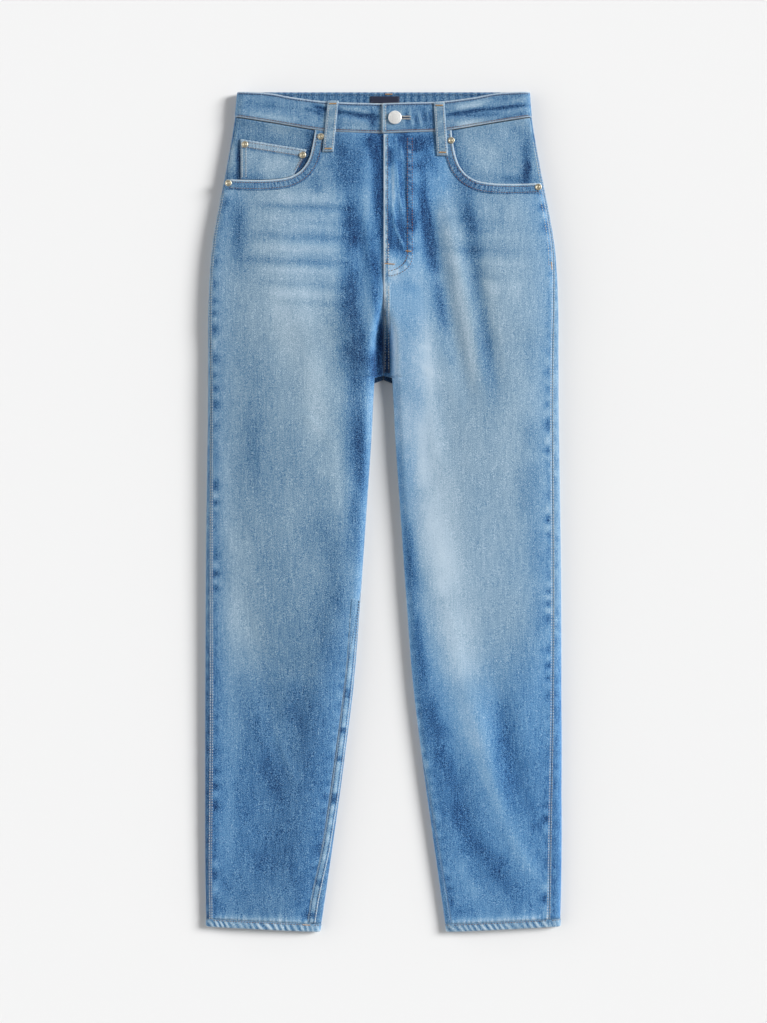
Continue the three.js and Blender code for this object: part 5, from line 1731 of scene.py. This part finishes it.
def centre_seam():
    """The felled seam below the fly, down into the crotch."""
    line = straight(0.4, CROTCH_Y + 6, 0.4, FLY_STRIP["end"] + 32, step=1.5)
    offsets = -np.array([0.05, 0.6, 1.4, 2.4, 3.6, 4.8, 6, 7, 7.8, 8.6])

    def lift(u, v):
        v = np.abs(v)
        ripple = 0.16 * np.sin(u / 2.4 + np.sin(u / 13)) * near(v, 4, 2.5)
        return 0.5 * fold(v, 1.4) * (1 - smoothstep(v, 7, 8.6)) + ripple + 0.02

    def wash_and_shade(x, y, u, v):
        v = np.abs(v)
        inner = front_wash_and_shade(SIDES["left"], x, y)
        bright = 0.72 + 0.1 * np.sin(u / 3.1)
        # Painted shade: the seam turns near-black where it runs down into the crotch recess.
        crotch_shade = smoothstep(-y, -250, -195)
        return mix(mix(bright, inner, smoothstep(v, 6.4, 8.4)), -0.1, crotch_shade)

    def wear(u, v):
        return 0.6 * near(np.abs(v), 0.5, 1.2) + 0.4 * near(np.abs(v), 7, 1)

    piece = strip("centre_seam", line, offsets, front_z, lift, wash_and_shade, 0.3, wear)
    for x in CENTRE_ROWS["front"]:
        row = straight(x, CROTCH_Y + 10, x, FLY_STRIP["end"] + 28)
        sew_on("fly", "pale", front_z, row, lift=0.5, width=0.9)
    return piece


INSEAM = dict(begin=-110, end=-522, width=10.4)
INSEAM_SHOWS = table("y inset", (-110, 1.2), (-240, 1.5), (-417, 2.3), (-490, 7.4), (-534, 7.8))


def inseam_fell(side):
    """The felled inseam where it shows on the front of a leg."""
    begin, width = INSEAM["begin"], INSEAM["width"]
    ys = np.arange(INSEAM["end"], begin, 1.6)
    near_edge = curve_of(INSEAM_SHOWS, "y", "inset")
    sign = side["sign"]
    line = np.stack([sign * (inner_x(ys) + near_edge(ys)), ys], -1)
    across_at = np.array([0.05, 0.6, 1.3, 2.2, 3.2, 4.4, 5.6, 6.8, 7.6, 8.3, 9.2]) / 9.2 * width
    taper = smoothstep(-ys, -begin, -begin + 90)[:, None]

    def puckers(u, v):
        return np.sin(u / 3.9 + 1.7 * np.sin(u / 21)) * near(v, width / 2, width / 3.2)

    def lift(u, v):
        v = np.abs(v)
        edges = fold(v, 1.3) * fold(width - v, 1.3)
        rows = near(v, width * 0.2, 0.6) + near(v, width * 0.8, 0.6)
        return (0.55 * edges + 0.2 * puckers(u, v) - 0.16 * rows) * taper + 0.02

    def wash_and_shade(x, y, u, v):
        v = np.abs(v)
        rows = near(v, width * 0.2, 0.7) + near(v, width * 0.8, 0.7)
        ticks = smoothstep(np.sin(u / 9.7 + 2.6 * np.sin(u / 37)), 0.72, 1) * near(v, width / 2, width / 2.4)
        pale = 0.66 + 0.12 * puckers(u, v) - 0.5 * rows - 0.6 * ticks
        return mix(front_wash_and_shade(side, x, y), pale, taper)

    def wear(u, v):
        v = np.abs(v)
        return taper * (0.7 * near(v, 0.4, 0.9) + 0.6 * near(v, width - 0.5, 0.9))

    offsets = -sign * across_at
    piece = strip(f"inseam_{side['name']}", line, offsets, front_z, lift, wash_and_shade, 0.35, wear, slot="trim")
    for share, thread in ((0.2, "navy"), (0.8, "navy"), (0.06, "pale")):
        row = offset_line(line, -sign * share * width * (0.1 + 0.9 * taper[:, 0]))
        sew_on("inseams", thread, front_z, row[::2], lift=0.45, width=0.75)
    return piece


OUTSEAM_ROW = dict(left=470, right=405, step=4, front=1.7, back=1.5)


def seam_rows():
    """Topstitching along the outseams and hems."""
    for side in SIDES.values():
        ys = row_heights(OUTSEAM_ROW[side["name"]], PANEL_END_Y + 6, OUTSEAM_ROW["step"])
        for face, inset in ((FRONT, OUTSEAM_ROW["front"]), (BACK, OUTSEAM_ROW["back"])):
            path = measured(face["path"](side, ys))
            px, pz, nx, nz = walk(path, np.arange(len(ys)), np.full(len(ys), inset), face["turn"])
            points = np.stack([side["sign"] * px, ys, pz], -1)
            normals = np.stack([side["sign"] * nx, 0 * ys, nz], -1)
            sew(f"outseam_{side['name']}", "pale", points - normals * 0.1, normals, width=0.85)
        for face in (FRONT, BACK):
            row = panel(side, face, [HEM_STITCH], hem_row, gap=0, shares=np.linspace(0.02, 0.98, 60))
            lift = mix(HEM_RISE + 0.05, -0.1, facing_table(row.normals))
            sew("hems", "rust", row.moved(lift).points, row.normals, width=0.85)
    end = panel(SIDES["right"], FRONT, [HEM_STITCH], hem_row, gap=0, shares=np.linspace(0.915, 0.985, 8))
    sew("hems", "orange", end.moved(HEM_RISE + 0.3).points, end.normals, pitch=1.4)


HIP_ROW = dict(top=416, end=312, step=3, insets=(6.5, 2.6))


def hip_rows():
    """The second row of the left side seam, beside the pocket, and its bar."""
    ys = row_heights(HIP_ROW["top"], HIP_ROW["end"], HIP_ROW["step"])
    side = SIDES["left"]
    path = measured(front_path(side, ys))
    for inset in HIP_ROW["insets"]:
        px, pz, nx, nz = walk(path, np.arange(len(ys)), np.full(len(ys), inset), 1)
        points, normals = np.stack([px, ys, pz], -1), np.stack([nx, 0 * ys, nz], -1)
        sew("outseam_left", "pale", points - normals * 0.05, normals, width=0.9)
    middle, normal = points[-1], normals[-1]
    bartack("outseam_left", "orange", middle, (0.1, -0.99, 0), normal, 9, width=2)


def band_rows():
    """Stitched rows along the waistband's edges, and its button end."""
    for x0, x1 in ((-184, -2), (4, 184)):
        xs = np.linspace(x0, x1, 90)
        low = np.stack([xs, waist_seam["front"](np.abs(xs)) + 2.8], -1)
        high = np.stack([xs, waist_top["front"](np.abs(xs)) - 2.6], -1)
        sew_on("band", "rust", band_z, low, lift=0, width=0.95, pitch=3.3)
        sew_on("band", "navy", band_z, high, lift=0.3, width=1.1, pitch=3.3)
    sew_on("band", "pale", band_z, straight(3, 483, 3, 514.5), lift=0.05, width=0.9)
    xs = np.linspace(-176, 176, 150)
    low, high = WAIST_SEAM["back"][0], WAIST_TOP["back"][0]
    inside = SEAT_LIFT + BAND_RISE + BAND_WALL - 0.55
    top = np.stack([xs, np.full(len(xs), high - 3.2), np.full(len(xs), inside)], -1)
    sew("band", "navy", top, np.zeros_like(top) + np.array([0, 0, 1.0]), width=1.1, pitch=3.2)
    for y in (low + 3, high - 3):
        sew_under("band_back", "rust", np.stack([xs, np.full(len(xs), y)], -1), z=BACK_STITCH_Z)


BUTTONHOLE = dict(from_button=5, end=33.5, half=1.5, pairs=18)


def buttonhole():
    """Dense pale stitches round the slit that leads from the button's shank."""
    x0, x1, y = BUTTON["x"] + BUTTONHOLE["from_button"], BUTTONHOLE["end"], BUTTON["y"]
    for sign in (-1, 1):
        beside = y + sign * BUTTONHOLE["half"]
        for x in np.linspace(x0, x1, BUTTONHOLE["pairs"]):
            z = float(band_z(x, y)) + 0.1
            bartack("buttonhole", "pale", (x, beside, z), (1, 0, 0), (0, 0, 1), 1.5)
    line = straight(x0, y, x1 - 1, y, step=2)
    sew_on("buttonhole", "navy", band_z, line, lift=0.35, pitch=2, length=3.4, width=1.9)


def fly_rows():
    """The stitched rows below the fly, and its bars."""
    for x in CENTRE_ROWS["front"]:
        sew_on("fly", "pale", front_z, straight(x, 300, x, 340), lift=0.5, width=0.8)
    bars = table("x y length", (31.7, 329.5, 6.5), (8, 313.5, 11.5))
    for x, y, length in zip(*bars.values()):
        z = float(front_z(x, y)) + 0.55
        bartack("fly", "orange", (x, y, z), (1, -0.08, 0), (0, 0, 1), length, width=1.5)


COIN_ROWS = (
    ("rust", -98.5, 456.5, -179, 470), ("rust", -100.5, 450.5, -178, 463.5), ("pale", -179, 470, -179, 424),
    ("pale", -174, 462, -174, 424), ("rust", -98.5, 456, -107, 436), ("rust", -103, 450, -112, 432),
)


def coin_rows():
    """Stitches of the coin pocket."""

    def coin_z(x, y):
        return front_z(x, y) + COIN_WALL - DENIM + 0.35

    for thread, *ends in COIN_ROWS:
        sew_on("coin", thread, coin_z, straight(*ends), lift=0.1, width=0.75, pitch=3)


def back_rows():
    """Double rows on the yoke seams and the centre back seam."""
    for sign in (-1, 1):
        for up in CENTRE_ROWS["back"]:
            xs = np.linspace(4, 184, 70)
            line = np.stack([sign * xs, yoke_seam(xs) + up], -1)
            sew_under("back", "rust", line, z=BACK_STITCH_Z)
    for x in CENTRE_ROWS["back"]:
        sew_under("back", "rust", straight(x, SEAT_RISE["full"] + 4, x, 492), z=BACK_STITCH_Z)


# Lay out the garment

for side_name, side in SIDES.items():
    front_panel(side)
    back_panel(side)
    back_yoke(side)
    pocket_facing(side)
    hem_band(side)
    back_pocket(side)
    front_loop(side_name)
    mouth_hem(side)
for loop_name in BACK_LOOPS:
    back_loop(loop_name)
coin_pocket()
waistband()
fly_edge()
jay_band()
centre_seam()
inseam_fell(SIDES["right"])
inner_label()
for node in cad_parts:
    if node.startswith("rivet_"):
        hardware(node, RIVET_ROWS, 28, BRASS)
hardware("button", BUTTON_ROWS, 48, NICKEL)
seam_rows()
hip_rows()
band_rows()
buttonhole()
fly_rows()
coin_rows()
back_rows()
place_sewing()

# Table top

STAGE = dict(size=9.0, z=-0.0002, colour=(238, 238, 238), roughness=0.9)


def floor():
    mesh = bpy.data.meshes.new("floor")
    half = STAGE["size"] / 2
    corners = [(x * half, y * half, 0) for x, y in ((-1, -1), (1, -1), (1, 1), (-1, 1))]
    mesh.from_pydata(corners, [], [(0, 1, 2, 3)])
    material = new_material("floor_pale")[0]
    mesh.materials.append(surface(material, srgb(*STAGE["colour"]), Roughness=STAGE["roughness"]))
    piece = bpy.data.objects.new("floor", mesh)
    piece.location.z = STAGE["z"]
    bpy.context.scene.collection.objects.link(piece)
    return piece


floor()


# Light and camera

KEY = dict(azimuth=18, elevation=28, spread=22, strength=4.3)
FILL = dict(zenith=0.04, left=4.6, right=2.0)


def lights():
    data = bpy.data.lights.new("key", "SUN")
    data.angle = math.radians(KEY["spread"])
    data.energy = KEY["strength"]
    lamp = bpy.data.objects.new("key", data)
    a, e = math.radians(KEY["azimuth"]), math.radians(KEY["elevation"])
    lamp.location = (math.cos(a) * math.cos(e), math.sin(a) * math.cos(e), math.sin(e))
    lamp.rotation_euler = (-lamp.location).to_track_quat("-Z", "Y").to_euler()
    bpy.context.scene.collection.objects.link(lamp)
    bpy.context.scene.world = studio()


def studio():
    """Pale walls on both sides, brighter than the ceiling."""
    world = bpy.data.worlds.new("studio")
    world.use_nodes = True
    nodes, links = world.node_tree.nodes, world.node_tree.links

    def math_of(operation, *values):
        return math_node(nodes, links, operation, *values)

    way = nodes.new("ShaderNodeSeparateXYZ")
    links.new(nodes.new("ShaderNodeTexCoord").outputs["Generated"], way.inputs[0])
    low = math_of("SUBTRACT", 1.0, math_of("MAXIMUM", way.outputs["Z"], 0.0))
    strength = FILL["zenith"]
    for name, sign in (("left", -1.0), ("right", 1.0)):
        toward = math_of("MAXIMUM", math_of("MULTIPLY", way.outputs["X"], sign), 0.0)
        wall = math_of("MULTIPLY", math_of("MULTIPLY", toward, toward), FILL[name])
        strength = math_of("MULTIPLY_ADD", low, wall, strength)
    background = nodes["Background"]
    background.inputs["Color"].default_value = (1, 1, 1, 1)
    links.new(strength, background.inputs["Strength"])
    return world


CAMERA = dict(lens=85, sensor=36, height=3.067, aim=0.01, x=0.0006, y=0.0006)


def camera():
    data = bpy.data.cameras.new("camera")
    data.lens = CAMERA["lens"]
    data.sensor_width = CAMERA["sensor"]
    eye = bpy.data.objects.new("camera", data)
    eye.location = (CAMERA["x"], CAMERA["y"], CAMERA["height"] + CAMERA["aim"])
    bpy.context.scene.collection.objects.link(eye)
    bpy.context.scene.camera = eye


lights()
camera()
bpy.context.scene.view_settings.view_transform = "Standard"
